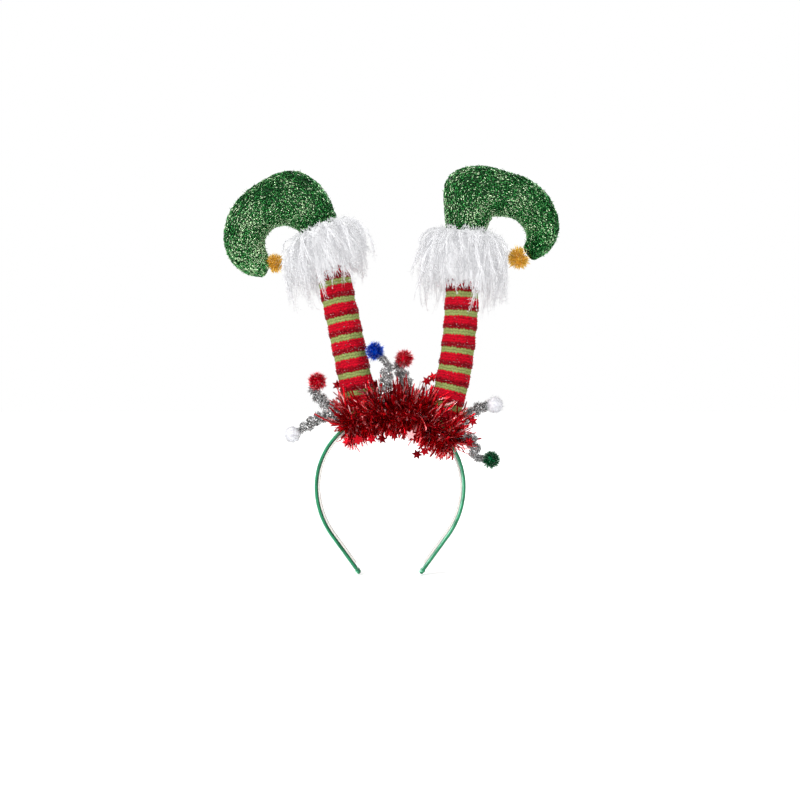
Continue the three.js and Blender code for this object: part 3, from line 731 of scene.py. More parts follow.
def foil_material(name, tint, dark=0.3, pale=0.5, roughness=0.22, metallic=1.0, **constants):
    """Metallised film: dark and pale strips of one colour, crinkled so that each catches the light."""
    # The tone paints each strip between a darker and a paler copy of the one colour, as painted reflection,
    # and glints as painted highlights.
    return toned_material(
        name, shade(tint, dark), tint, paler(tint, pale), 420.0, 0.0006, Roughness=roughness,
        Metallic=metallic, **constants,
    )


def tinsel_yarn_material(name, tint):
    """Coloured tinsel yarn, mostly metallic."""
    # The tone paints each strip between a darker and a paler copy of the colour, as painted reflection, and
    # glints as painted highlights.
    return toned_material(
        name, shade(tint, 0.34), tint, paler(tint, 0.6), 500.0, 0.0004, Roughness=0.26, Metallic=0.72,
        Specular_IOR_Level=0.2,
    )


def satin_material():
    """Ribbon satin: fine threads across the band under long soft creases.

    The folds get a painted highlight where the tone is high, unless a crease runs there, and painted
    shade where it is low and in the creases.
    """
    tints = colours()
    material, tree, shader = new_material("band_satin", Roughness=0.36, Specular_IOR_Level=0.35)
    uv = weave_uv(tree)
    folds = noise(tree, scaled(tree, uv, 0.3, 0.022), 3.0, 3.0, 0.6)
    tone = mesh_tone(tree)
    # Painted shade in the creases, then painted shade where the tone is low, then the painted highlight
    mix = blended(tree, remap(tree, folds, 0.3, 0.58), tints.satin_shade[:], tints.satin[:])
    mix = blended(tree, remap(tree, tone, 0.4, 0.1, to_high=0.8), mix, tints.satin_shade[:])
    shine = maths(tree, "MULTIPLY", remap(tree, folds, 0.3, 0.55), remap(tree, tone, 0.62, 0.95))
    mix = blended(tree, shine, mix, tints.satin_light[:])
    weft = noise(tree, scaled(tree, uv, 0.3, 9.0), 3.0, 1.0)
    finish_material(tree, shader, mix, maths(tree, "MULTIPLY_ADD", weft, 0.12, folds), 0.0005)
    return material


def lining_material():
    """Woven tape: threads over and under in a fine check, darker where its tone is lowest."""
    tint = colours().lining[:]
    material, tree, shader = new_material("lining_tape", Roughness=0.85, Sheen_Weight=0.2)
    split = add_node(tree, "ShaderNodeSeparateXYZ", Vector=scaled(tree, weave_uv(tree), 1.0, 2.0))
    waves = [maths(tree, "SINE", maths(tree, "MULTIPLY", split.outputs[axis], TURN)) for axis in (0, 1)]
    level = remap(tree, maths(tree, "MULTIPLY", *waves), -1.0, 1.0)
    mix = blended(tree, level, shade(tint, 0.8), tint)
    # Painted shade along the front corner away from the light and at the ends, where the strap's tone is
    # lowest
    edge = remap(tree, mesh_tone(tree), 0.12, 0.02, to_high=0.5)
    mix = blended(tree, edge, mix, shade(tint, 0.4))
    finish_material(tree, shader, mix, level, 0.00012)
    return material


def stocking_material():
    """Knit in stripes counted in rows: green, dark ground for the lurex, then matte red.

    The row is bent by the stitch's V, as the mesh is, and fuzzed by noise at a stripe's edge. The
    stitches' hollows get painted shade and their tops a faint painted highlight.
    """
    tints = colours()
    material, tree, shader = new_material("stocking_knit", Roughness=0.95, Specular_IOR_Level=0.15)
    split = add_node(tree, "ShaderNodeSeparateXYZ", Vector=weave_uv(tree))
    lobe = maths(tree, "PINGPONG", split.outputs[0], 0.5)
    bent = maths(tree, "MULTIPLY_ADD", lobe, -2 * STITCH_SLANT, split.outputs[1])
    grain = grained(tree, 900.0, Fine_Share=0.5)
    fuzzed = maths(tree, "MULTIPLY_ADD", grain, 1.0, bent)
    stripe = maths(tree, "FRACT", maths(tree, "DIVIDE", fuzzed, float(ROWS_PER_STRIPE)))
    ramp = add_node(tree, "ShaderNodeValToRGB", Fac=stripe)
    ramp.color_ramp.interpolation = "CONSTANT"
    rows = (0, 0.4, 0.5 + GREEN_ROWS, 0.5 + GREEN_ROWS + LUREX_ROWS)
    stops = ramp.color_ramp.elements
    stops[1].position = rows[1] / ROWS_PER_STRIPE
    for row in rows[2:]:
        stops.new(row / ROWS_PER_STRIPE)
    for stop, tint in zip(stops, (tints.knit_red, tints.knit_green, tints.knit_dark, tints.knit_red)):
        stop.color = (*tint, 1)
    # Painted shade in the stitches' hollows and a faint painted highlight on their tops, from the stitch
    # height in the tone; the fleck is random
    depth = remap(tree, mesh_tone(tree), 0.0, 1.0, 0.3, 1.15)
    fleck = remap(tree, grain, 0.3, 0.7, 0.75, 1.2)
    dark = maths(tree, "MULTIPLY", depth, fleck)
    tinted = add_node(tree, "ShaderNodeVectorMath", {"operation": "SCALE"}, n0=ramp.outputs[0], Scale=dark)
    finish_material(tree, shader, tinted.outputs[0], grain, 0.0005)
    return material


def ground_material(name, tint):
    """The dark matte ground that shows between metallic threads."""
    material, tree, shader = new_material(name, Roughness=0.8)
    grain = grained(tree, 700.0)
    finish_material(tree, shader, blended(tree, grain, shade(tint, 0.5), shade(tint, 1.4)), grain, 0.0008)
    return material


def band_line(place, inset):
    """The band's line at places from -1 to 1: a quarter circle, a bent side and a straight tail.

    A place is a share of the distance from the crown's top to an end. Returns the middle, the
    outward direction and the half line's length.
    """
    crown = (CROWN_RADIUS - inset) * math.pi / 2
    side = (SIDE_RADIUS - inset) * SIDE_BEND
    total = crown + side + TAIL_LENGTH
    distance = np.abs(place) * total
    turned = np.minimum(distance, crown) / (CROWN_RADIUS - inset)
    bent = np.clip(distance - crown, 0, side) / (SIDE_RADIUS - inset)
    straight = np.maximum(distance - crown - side, 0)
    angle = turned + bent
    outward = np.stack([np.sin(angle), 0 * angle, np.cos(angle)], -1)
    tangent = np.stack([np.cos(angle), 0 * angle, -np.sin(angle)], -1)
    past_crown = (distance > crown)[:, None]
    centre = np.where(past_crown, [CROWN_RADIUS - SIDE_RADIUS, 0, CROWN_CENTRE], [0, 0, CROWN_CENTRE])
    radius = np.where(past_crown, SIDE_RADIUS - inset, CROWN_RADIUS - inset)
    middle = centre + outward * radius + tangent * straight[:, None]
    mirror = np.where(place < 0, -1, 1)[:, None] * np.array([1, 0, 0]) + np.array([0, 1, 1])
    return middle * mirror, outward * mirror, total


def strap(places, inset, thickness, width, square, cap, sides, relief=0, swirl=0):
    """A flat strap along the band's line: a squared oval of its thickness and width at each place.

    Its tone is high, a painted highlight, along the front corner that faces left, towards the light,
    and low, a painted shade, along the other: the outer one on the left arm and the inner one on the
    right. The swirl is added to it as more painted highlight and shade, and both end points get painted
    shade.
    """
    middle, outward, total = band_line(places, inset)
    angle = TURN * np.arange(sides) / sides
    out = flattened(np.cos(angle), square) * (thickness[:, None] / 2 + relief)
    back = flattened(np.sin(angle), square) * (width[:, None] / 2 + relief)
    grid = middle[:, None] + outward[:, None] * out[..., None] + back[..., None] * BACK
    ends = middle[[0, -1]] + unit(middle[[0, -1]] - middle[[1, -2]]) * cap
    girths = np.arange(sides + 1) / sides * (thickness + width).mean()
    rows, columns = np.meshgrid(places * total, girths, indexing="ij")
    # Painted highlight on the front corner towards the light, painted shade on the other
    outer, inner = (np.exp(-(((angle - corner) / CORNER_SPREAD) ** 2)) for corner in FRONT_CORNERS)
    arm = 2 * np.clip(0.5 + 6 * places, 0, 1)[:, None] - 1
    tone = np.clip(0.5 + 0.5 * (inner - outer) * arm + 1.6 * swirl, 0, 1)
    return tube(grid, *ends, tone=np.append(tone.ravel(), [0.1, 0.1]), uv=np.stack([columns, rows], -1))


def winding(places, total, sides):
    """The swirl of the ribbon's folds round each knob, in millimetres of relief."""
    # The strap also adds this swirl to the tone, as painted highlight and painted shade on the ribbon.
    past = (np.abs(places) - 1) * total / KNOB_LENGTH + 1
    angle = TURN * np.arange(sides) / sides
    return np.sin(angle * 2 + past[:, None] * 9) * 0.22 * np.clip(past, 0, 1)[:, None]


def satin_band():
    """The ribbon-covered band. Each end has a rolled knob past a groove, with folds that wind round it.

    The knob bulges as a circle does, and the groove is a bell curve. The folds' swirl also goes
    into the tone, as painted highlight and shade.
    """
    inset = BAND_THICKNESS / 2
    total = band_line(np.zeros(1), inset)[2]
    knob = KNOB_LENGTH / total
    plain = np.linspace(0, 1 - 2 * knob, 200)[1:]
    side = np.sort(np.concatenate([plain, 1 - 2 * knob * np.linspace(0, 1, 40)[::-1][1:]]))
    places = np.concatenate([-side[::-1], [0], side])
    past = np.clip((np.abs(places) - (1 - knob)) / knob, -1, 1)
    groove = np.exp(-((past / GROOVE_SHARE) ** 2))
    bulge = np.where(past > 0, np.sqrt(np.maximum(1 - (1.9 * past - 0.95) ** 2, 0.05)), 0)
    rolled = KNOB_THICKNESS - 0.4 - BAND_THICKNESS
    thickness = BAND_THICKNESS + rolled * bulge - 0.9 * np.maximum(past, 0) ** 2
    thickness -= GROOVE_DEPTH * groove
    width = BAND_WIDTH + (TAIL_WIDTH - BAND_WIDTH) * places**2
    width -= 0.9 * groove + np.where(past > 0, 1.6 * past**3, 0)
    sides = 28
    distance = places[:, None] * total
    angle = TURN * np.arange(sides) / sides
    creases = np.sin(angle + distance / 5.3) * np.sin(distance / 2.1 + 3 * np.sin(distance / 17))
    swirl = winding(places, total, sides)
    return strap(
        places, inset, thickness, width, 0.55, KNOB_THICKNESS / 6, sides, swirl + 0.05 * creases, swirl
    )


def lining_tape():
    """The tape inside the band, which ends short of the knobs."""
    inset = BAND_THICKNESS + LINING_SEAM + LINING_PILE / 2
    total = band_line(np.zeros(1), inset)[2]
    places = (1 - LINING_SETBACK / total) * np.linspace(-1, 1, 241)
    thickness = np.full(len(places), LINING_PILE)
    width = LINING_WIDTH + (LINING_TAIL_WIDTH - LINING_WIDTH) * places**2
    return strap(places, inset, thickness, width, 0.4, LINING_THICKNESS / 4, 16)


def beside_leg(leg, side):
    """Where a leg's stretch of crown ends on its outside, or its inside where side is -1, in degrees."""
    return leg.out * (leg.band_angle + side * LEG_SPREAD)


def leg_controls(leg):
    """The four control points of a leg's axis, from the band to the ankle."""
    foot = on_crown(leg.out * leg.band_angle, -LEG_SINK)
    ankle = foot + leaning(leg.out * leg.chord_lean) * leg.chord * LEG_LENGTH
    reach = leg.chord * LEG_LENGTH / 3
    return np.array([
        foot,
        foot + leaning(leg.out * leg.foot_lean) * reach,
        ankle - leaning(leg.out * leg.ankle_lean) * reach,
        ankle,
    ])


def leg_sections(leg, distance):
    """A leg's middles, tangents and radii at distances from the band, and its whole length.

    The tangent turns from the band's own outward direction to the axis's by the first stripe, and
    the radius draws in by half a wave at each green stripe.
    """
    dense = bezier(leg_controls(leg), np.linspace(0, 1, 600))
    steps = np.concatenate([[0], np.cumsum(np.linalg.norm(np.diff(dense, axis=0), axis=1))])
    middle = read_off(distance, steps, dense)
    tangent = unit(read_off(distance, steps, np.gradient(dense, axis=0)))
    share = np.minimum(1, distance / FIRST_STRIPE)[..., None]
    tangent = unit(leaning(leg.out * leg.band_angle) * (1 - share) + tangent * share)
    wave = np.cos(TURN * (distance - FIRST_STRIPE) / STRIPE_PITCH)
    return middle, tangent, LEG_RADIUS - STRIPE_SWELL * (1 + wave) / 2, steps[-1]


def on_leg(leg, distance, around, height):
    """The axis at a distance plus the radius and a height in the direction around it."""
    middle, tangent, radius, _ = leg_sections(leg, distance)
    side = np.cross(tangent, BACK)
    out = np.cos(around)[..., None] * side + np.sin(around)[..., None] * BACK
    return middle + out * (radius + height)[..., None]


def stitches(wale, row):
    """Plain knitting's relief from 0 to 1: each stitch is a V of two rounded lobes.

    A lobe is half a sine across the row, which the V's slant bends, times a narrower half sine
    across the lobe.
    """
    lobe = np.abs(2 * (wale % 1) - 1)
    across = np.sin(np.pi * ((row - STITCH_SLANT * (1 - lobe)) % 1)) ** 0.6
    return across * (0.25 + 0.75 * np.abs(np.sin(TURN * wale)) ** 0.6)


def stocking(leg):
    """A stuffed stocking: its sections with the stitches' relief, raised under the lurex stripes."""
    wales = sizes().leg_wales
    relief = in_mm("leg_relief")
    total = leg_sections(leg, np.zeros(1))[3]
    start = LEG_SINK + SEAT_GAP
    end = total - 1
    number = int((end - start) / ROW_HEIGHT * RINGS_PER_ROW)
    distance = np.linspace(start, end, number)
    sides = wales * SIDES_PER_WALE
    around = TURN * np.arange(sides) / sides
    rows = (distance - FIRST_ROW) / ROW_HEIGHT
    row, wale = np.meshgrid(rows, np.arange(sides) / SIDES_PER_WALE, indexing="ij")
    s, angle = np.meshgrid(distance, around, indexing="ij")
    rough = on_leg(leg, s, angle, 0 * s)
    sway = 0.2 * ripple(rough, 5.5, 7)
    wale = wale + 0.12 * ripple(rough, 4.5, 8)
    row = row + sway
    height = stitches(wale, row)
    phase = (row - STITCH_SLANT * (1 - np.abs(2 * (wale % 1) - 1))) % ROWS_PER_STRIPE
    lurex = (phase > GREEN_ROWS) & (phase < GREEN_ROWS + LUREX_ROWS)
    lumps = 0.25 * ripple(rough, 2.4, 5) + 0.3 * ripple(rough, 16, 6)
    fade = np.minimum(1, np.minimum(s - start, end - s) / 1.5)
    grid = on_leg(leg, s, angle, (relief * (height - 0.7) + 0.2 * lurex + lumps) * fade)
    middle, tangent, _, _ = leg_sections(leg, np.array([start, end]))
    uv_row, uv_wale = np.meshgrid(rows, np.arange(sides + 1) / SIDES_PER_WALE, indexing="ij")
    uv_row = uv_row + np.hstack([sway, sway[:, :1]])
    # The stitches' height goes into the tone, which paints shade in their hollows
    tone = np.concatenate([height.ravel(), [0.5, 0.5]])
    ends = middle + tangent * np.array([[0], [0.4]])
    return tube(grid, *ends, tone=tone, uv=np.stack([uv_wale, uv_row], -1))


def lurex_loops(leg, rng):
    """Loops of metallic thread: short arches strewn over the leg's lurex rows."""
    total = leg_sections(leg, np.zeros(1))[3]
    stripes = np.arange(-1, int(total / STRIPE_PITCH) + 1)
    number = len(stripes) * sizes().lurex_loops
    row = np.repeat(stripes * ROWS_PER_STRIPE, sizes().lurex_loops) + GREEN_ROWS
    over = np.where(rng.random(number) < 0.72, 0.42 * rng.uniform(-1, 1, number), rng.uniform(0, 2, number))
    row = row + LUREX_ROWS * (0.5 + over) + 0.35
    distance = FIRST_ROW + row * ROW_HEIGHT
    around = rng.uniform(0, TURN, number)
    kept = (distance > 4) & (distance < total - 3)
    distance, around = distance[kept], around[kept]
    number = len(distance)
    reach = rng.uniform(0.6, 1.3, number)
    lean = rng.uniform(-0.7, 0.7, number)
    share = np.linspace(-1, 1, 4)
    s = distance[:, None] + share * (reach * np.sin(lean))[:, None]
    angle = around[:, None] + share * (reach * np.cos(lean) / LEG_RADIUS)[:, None]
    height = (1 - share**2) * rng.uniform(0.3, 0.9, number)[:, None]
    lines = on_leg(leg, s, angle, height)
    outward = unit(lines[:, 1] - leg_sections(leg, distance)[0])
    across = np.cross(unit(lines[:, 2] - lines[:, 1]), outward) + 0.5 * rng.normal(size=(number, 3))
    # Random tones, with a painted glint along a share of the loops
    tones = glinting(rng, 0.6 * rng.beta(0.9, 1.4, number), share, 0.4, 0.5)
    return threads(lines, across, 0.66, 0.25, tones, finish=1)


def shoe_frame(leg):
    """A shoe's up and toe directions and its ankle's middle."""
    up = leaning(leg.out * leg.shoe_lean)
    toe = leaning(leg.out * (leg.shoe_lean + 90))
    return up, toe, leg_controls(leg)[3] + up * COLLAR_LENGTH


def shoe_sections(leg, share):
    """A shoe's middles and its half axes across the curl and from front to back, by its table.

    Past a share of 1 the middle runs straight on and the axes shrink as a quarter circle does.
    """
    up, toe, ankle = shoe_frame(leg)
    table = np.array([(0, -COLLAR_LENGTH / SHOE_RISE, 90, 0.8, 0.9), *leg.sections])
    row = smooth_rows(table, np.minimum(share, 1))
    past = np.clip((share - 1) / TIP_SHARE, 0, 1)
    heading = np.radians(row[..., 2])
    ahead = along_last(np.cos(heading), toe) + along_last(np.sin(heading), up)
    side = along_last(np.sin(heading), toe) - along_last(np.cos(heading), up)
    middle = ankle + along_last(row[..., 0] * SHOE_LENGTH, toe) + along_last(row[..., 1] * SHOE_RISE, up)
    drawn_in = np.sqrt(1 - past**2)
    return (
        middle + ahead * (TOE_ROUNDING * past)[..., None],
        side,
        row[..., 3] * SHOE_GIRTH / 2 * drawn_in,
        row[..., 4] * SHOE_DEPTH / 2 * drawn_in,
    )


def on_shoe(leg, share, around, height):
    """A shoe's middle plus its two half axes, each with a height added, turned by around."""
    middle, side, girth, depth = shoe_sections(leg, share)
    height = height + swell(leg, share, around)
    return (
        middle
        + side * (np.cos(around) * (girth + height))[..., None]
        + along_last(leg.out * np.sin(around) * (depth + height), BACK)
    )


def shoe_rows(leg, number):
    """Shares of a shoe's table at equal distances along its middle, and the middle's length."""
    shares = np.linspace(0, 1 + TIP_SHARE, 900)
    dense = shoe_sections(leg, shares)[0]
    distance = np.linalg.norm(np.diff(dense, axis=0), axis=1).sum()
    return even_steps(dense, number) * (1 + TIP_SHARE), distance


# How far each shoe's stuffing swells it: the levels of its rings, and a row of moves for each ring
SWELLS = {}


def swell(leg, level, around):
    """The recorded swelling at levels and angles, read off its table in straight lines, or 0."""
    if leg.name not in SWELLS:
        return 0
    levels, table = SWELLS[leg.name]
    sides = table.shape[1]
    place = np.interp(level, levels, np.arange(len(levels)))
    turn = around / TURN % 1 * sides
    row = np.clip(place.astype(int), 0, len(levels) - 2)
    column = turn.astype(int)
    f, g = place - row, turn - column
    column, after = column % sides, (column + 1) % sides
    low = table[row, column] * (1 - g) + table[row, after] * g
    high = table[row + 1, column] * (1 - g) + table[row + 1, after] * g
    return low * (1 - f) + high * f


def stuff_shoe(leg):
    """Swells a coarse copy of a shoe with Blender's Cloth and records the moves.

    The copy starts a little smaller, and is solved under pressure and without gravity. The moves
    are those straight out from the skin, less their mean, capped, and faded out at both ends.
    """
    levels = shoe_rows(leg, STUFFING_RINGS + 1)[0][:-1]
    turns = TURN * np.arange(STUFFING_SIDES) / STUFFING_SIDES
    share, around = np.meshgrid(levels, turns, indexing="ij")
    grid = on_shoe(leg, share, around, 0 * around - 1)
    part = tube(grid, *shoe_sections(leg, np.array([0, 1 + TIP_SHARE]))[0])
    faces = [face for block in part.faces for face in block.tolist()]
    mesh = bpy.data.meshes.new("stuffing")
    mesh.from_pydata((part.points * MM).tolist(), [], faces)
    skin = bpy.data.objects.new("stuffing", mesh)
    scene = bpy.context.scene
    scene.collection.objects.link(skin)
    cloth = skin.modifiers.new("stuffing", "CLOTH").settings
    cloth.use_pressure = True
    cloth.uniform_pressure_force = STUFFING_PRESSURE
    cloth.effector_weights.gravity = 0
    for step in range(1, STUFFING_FRAMES + 1):
        scene.frame_set(step)
    solved = skin.evaluated_get(bpy.context.evaluated_depsgraph_get())
    moved, normals = np.empty((2, part.points.size), np.float32)
    solved.data.vertices.foreach_get("co", moved)
    mesh.vertex_normals.foreach_get("vector", normals)
    scene.frame_set(1)
    bpy.data.objects.remove(skin)
    bpy.data.meshes.remove(mesh)
    move = ((moved.reshape(-1, 3) / MM - part.points) * normals.reshape(-1, 3)).sum(-1)[: share.size]
    table = np.clip(move - move.mean(), -SWELL_CAP, SWELL_CAP).reshape(share.shape)
    faded = np.clip(np.minimum(levels, levels[-1] - levels) / SWELL_FADE, 0, 1)
    SWELLS[leg.name] = levels, table * faded[:, None]


def shoe_body(leg):
    """A shoe's stuffed ground: its sections with soft lumps, closed by a rounded toe."""
    share = shoe_rows(leg, SHOE_RINGS)[0]
    turns = TURN * np.arange(SHOE_SIDES) / SHOE_SIDES
    s, around = np.meshgrid(share[:-1], turns, indexing="ij")
    rough = on_shoe(leg, s, around, 0 * s)
    lumps = 0.3 * ripple(rough, 17, 11) + 0.12 * ripple(rough, 5, 12) - 0.55
    grid = on_shoe(leg, s, around, lumps)
    middle = shoe_sections(leg, np.array([0, 1 + TIP_SHARE]))[0]
    return tube(grid, *middle)


def lurex_stitches(leg, rng):
    """A shoe's knitting: a V of two metallic threads for each stitch, arched over the ground.

    A thread runs along half a stitch's slant in the surface's two parameters, so stitches crowd
    together inside the curl and spread round its outside. They get painted highlight and more
    painted glints inside the curl and towards the left, where the light comes from, painted shade on
    the right shoe and on the side turned away from the light, and are brighter in random patches.
    """
    stitch = in_mm("shoe_stitch")
    wales = int(TURN * (SHOE_GIRTH + SHOE_DEPTH) / 4 / stitch)
    rows = int(shoe_rows(leg, 2)[1] / (STITCH_SHARE * stitch))
    levels = shoe_rows(leg, rows * 4 + 1)[0]
    places = np.meshgrid(np.arange(2, rows), np.arange(wales), (-1, 1), indexing="ij")
    row, wale, lobe = (x.ravel() for x in places)
    number = len(row)
    share = np.linspace(-1, 1, 4)
    drift = rng.normal(0, 0.2, (2, number))
    across = (wale + 0.5 + lobe * 0.25 + drift[0])[:, None] + share * (lobe * 0.26)[:, None]
    along = (row + drift[1])[:, None] + share * rng.uniform(0.55, 0.95, number)[:, None]
    around = TURN * across / wales
    level = np.interp(np.clip(along, 0, rows) * 4, np.arange(rows * 4 + 1), levels)
    height = -0.35 + (1 - share**2) * rng.uniform(0.4, 1.5, number)[:, None]
    lines = on_shoe(leg, level, around, height)
    outward = unit(lines[:, 1] - shoe_sections(leg, level[:, 1])[0])
    sideways = np.cross(unit(lines[:, 2] - lines[:, 1]), outward) + 0.45 * rng.normal(size=(number, 3))
    # Painted highlight inside the curl; painted shade on the right shoe and on the side turned away from
    # the light; random patches; and a share of painted glints
    inner = 0.1 * np.cos(around[:, 1])
    turned_away = leg.out * (level[:, 1] - 0.45)
    patches = 0.22 * ripple(lines[:, 1], 22, 21) + rng.normal(0, 0.2, number)
    tone = 0.41 - 0.03 * leg.out + inner - 0.22 * turned_away + patches
    shining = (0.31 - 0.03 * leg.out + inner - 0.28 * turned_away)[:, None]
    tones = glinting(rng, np.clip(tone, 0, 0.85), share, shining, 0.7)
    return threads(lines, sideways, in_mm("shoe_thread"), 0.4, tones, finish=1)


def stray_threads(leg, rng, number=650):
    """Loose ends of lurex that stand up from a shoe and roughen its outline."""
    level = rng.uniform(0.03, 1.0, number)
    around = rng.uniform(0, TURN, number)
    height = np.linspace(-0.2, 1, 4) * rng.uniform(0.8, 3.4, number)[:, None]
    sway = np.linspace(0, 1, 4) * rng.normal(0, 0.05, number)[:, None]
    lines = on_shoe(leg, np.clip(level[:, None] + sway * 0.15, 0, 1), around[:, None] + sway, height)
    return threads(lines, rng.normal(size=(number, 3)), 0.5, 0.25, rng.uniform(0.1, 0.7, number), finish=1)


def cuff_seat(leg):
    """The middle of a cuff's backing, which has sagged a little, and its up, toe and falling directions."""
    up, toe, ankle = shoe_frame(leg)
    fall = -leg_sections(leg, np.array([0.8 * leg.chord * LEG_LENGTH]))[1][0]
    return ankle - up * (CUFF_DROP + CUFF_SAG[leg.name]), up, toe, fall


def cuff_ring(leg, radii, heights, lumps):
    """A closed section of radii and heights carried round the ankle's oval, raised by ripples."""
    centre, up, toe, _ = cuff_seat(leg)
    around = TURN * np.arange(96) / 96
    out = radii[None, :] + 0 * around[:, None]
    grid = (
        centre
        + along_last(np.cos(around)[:, None] * out, toe)
        + along_last(np.sin(around)[:, None] * out * SHOE_DEPTH / SHOE_GIRTH, BACK)
        + along_last(heights[None, :] + 0 * around[:, None], up)
    )
    away = unit(grid - grid.mean(axis=1, keepdims=True))
    return grid + away * (lumps * ripple(grid, 5, 41))[..., None]


def cuff_backing(leg, rng):
    """The knitted band that the pile grows from, and the short thick pile that hides it.

    The band has a squared section. The pile's section is a drop that hangs from it round the leg,
    and short hairs stand out all over its outside.
    """
    section = TURN * np.arange(8) / 8
    outer = SHOE_GIRTH / 2 + SEAT_GAP + CUFF_BACKING_THICKNESS
    radii = outer + CUFF_BACKING_THICKNESS / 2 * (flattened(np.cos(section), 0.6) - 1)
    band = cuff_ring(leg, radii, CUFF_BACKING_HEIGHT / 2 * flattened(np.sin(section), 0.6), 0)
    hang = np.where(PILE_SECTION[:, 1] < 0, leg.pile / -PILE_SECTION[:, 1].min(), 1)
    pile = cuff_ring(leg, PILE_SECTION[:, 0], PILE_SECTION[:, 1] * hang, 1.6)
    number = sizes().pile_hairs
    place = rng.uniform(0, 7.99, number)
    first = place.astype(int)
    turn = rng.integers(0, len(pile), number)
    start = pile[turn, first] + (pile[turn, first + 1] - pile[turn, first]) * (place - first)[:, None]
    outward = unit(start - pile.mean(axis=1)[turn])
    upper = place < 1.2
    headings = outward * 0.8 + along_last(np.where(upper, -0.7, 1), cuff_seat(leg)[3])
    width = 1.3 * in_mm("fur_width")
    return [
        hoop(band),
        # The pile's lower tone is painted shade under the locks
        hoop(pile, 0.45),
        short_hairs(start[upper], headings[upper], 0.9, 2, 6, width, rng),
        short_hairs(start[~upper], headings[~upper], 0.7, 4, 10, width, rng),
    ]


def fringe_locks(leg, rng):
    """The control points of a cuff's locks: root, flare, fall and end, and two directions to wave in.

    A lock stands out from the backing by its flare, is lifted a little where its root is high or
    behind, and drops along the leg. In front the locks are shorter and part, so that the leg shows.
    """
    centre, up, toe, fall = cuff_seat(leg)
    radius = SHOE_GIRTH / 2 + SEAT_GAP + CUFF_BACKING_THICKNESS - 1
    locks = sizes().fur_locks
    around = TURN * (np.arange(locks) * GOLDEN_SHARE % 1)
    cos, sin = np.cos(around), np.sin(around)
    level = rng.uniform(-0.5, 0.5, locks)
    outward = unit(along_last(cos, toe) + along_last(sin, BACK))
    across = along_last(-sin, toe) + along_last(cos, BACK)
    root = (
        centre
        + along_last(cos * radius, toe)
        + along_last(sin * radius * SHOE_DEPTH / SHOE_GIRTH, BACK)
        + along_last(level * CUFF_BACKING_HEIGHT, up)
    )
    high = level + 0.5
    front = np.maximum(0, -sin) ** 2
    loose = rng.random(locks) < LOOSE_SHARE
    flare = LOCK_FLARE * np.clip(0.25 + 0.6 * high + rng.normal(0, 0.2, locks), 0.1, 1)
    lift = LOCK_FALL * (high**2 * (0.09 + 0.14 * np.maximum(0, sin)) + rng.normal(0, 0.05, locks))
    short = 1 - 0.3 * front * (rng.random(locks) > 0.4)
    short = short * np.where(loose, rng.uniform(0.3, 0.8, locks), 1)
    fallen = np.clip(rng.uniform(0.66, 1.12, locks) - 0.2 * high, 0.3, 1.1)
    drop = LOCK_FALL * fallen * short * leg.pile / FULL_PILE
    parting = PARTING * front * np.sign(cos) * rng.uniform(0, 1, locks)
    aside = along_last(parting + rng.normal(0, 5.5, locks), toe)
    turned_out = rng.uniform(0.6, 1.05, locks) + 0.45 * loose
    controls = np.stack([
        root,
        root + along_last(flare, outward) + along_last(lift, up),
        root + along_last(flare * 1.1, outward) + along_last(drop * 0.45, fall) + aside * 0.6,
        root + along_last(flare * turned_out, outward) + along_last(drop, fall) + aside,
    ], 1)
    return controls, (across, outward)


def fur_cuff(leg, rng):
    """Eyelash fringe: the hairs of each lock, and short barbs that branch off them.

    A lock is a cubic Bezier through its control points, with two waves along it. Its hairs are the
    same curve with each control point moved a little, cut to lengths of their own. Hairs that would
    cover the toe's pompom are left out.
    """
    controls, directions = fringe_locks(leg, rng)
    locks = len(controls)
    turns = rng.uniform(0.8, 2.1, (2, locks, 1))
    phase = rng.random((2, locks, 1))
    swing = rng.uniform(0.8, 2.8, (2, locks, 1))
    lock = np.repeat(np.arange(locks), sizes().lock_hairs)
    number = len(lock)
    shares = np.linspace(0, 1, HAIR_POINTS) * rng.uniform(0.84, 1, number)[:, None]
    spread = LOCK_SPREAD[:, None] * rng.normal(size=(number, 4, 3))
    lines = bezier(controls[lock] + spread, shares)
    for k, direction in enumerate(directions):
        wave = swing[k, lock] * shares * np.sin(TURN * (turns[k, lock] * shares + phase[k, lock]))
        lines += wave[..., None] * direction[lock, None]
    lines[:, 1:] += rng.normal(0, HAIR_CRINKLE, lines[:, 1:].shape)
    beside = (lines - toe_pompom_centre(leg)) * (1 - BACK)
    clear = (np.linalg.norm(beside, axis=-1) > leg.pompom_radius + POMPOM_ROOM).all(axis=1)
    lines, lock = lines[clear], lock[clear]
    number = len(lock)
    width = in_mm("fur_width")
    tones = np.clip(rng.beta(4, 2, number) - 0.12 * (lock % 3 == 0), 0, 1)
    hairs = threads(lines, rng.normal(size=(number, 3)), width, 0.6 * width, tones)
    stem = rng.integers(0, number, sizes().fur_barbs)
    place = (HAIR_POINTS - 1) * np.sqrt(rng.uniform(0.02, 0.97, len(stem)))
    first = place.astype(int)
    start, after = lines[stem, first], lines[stem, first + 1]
    start = start + (after - start) * (place - first)[:, None]
    barbs = short_hairs(start, unit(after - start), 1.5, 1.8, 4.6, 1.1 * width, rng)
    return [hairs, barbs]


def short_hairs(roots, headings, stray, least, most, width, rng):
    """Straight short hairs from their roots, whose headings a random direction turns aside."""
    number = len(roots)
    heading = unit(headings + stray * unit(rng.normal(size=(number, 3))))
    reach = heading * rng.uniform(least, most, number)[:, None]
    lines = roots[:, None] + reach[:, None] * np.array([0, 0.6, 1])[:, None]
    return threads(lines, rng.normal(size=(number, 3)), width, 0.5 * width, rng.beta(4, 2, number))


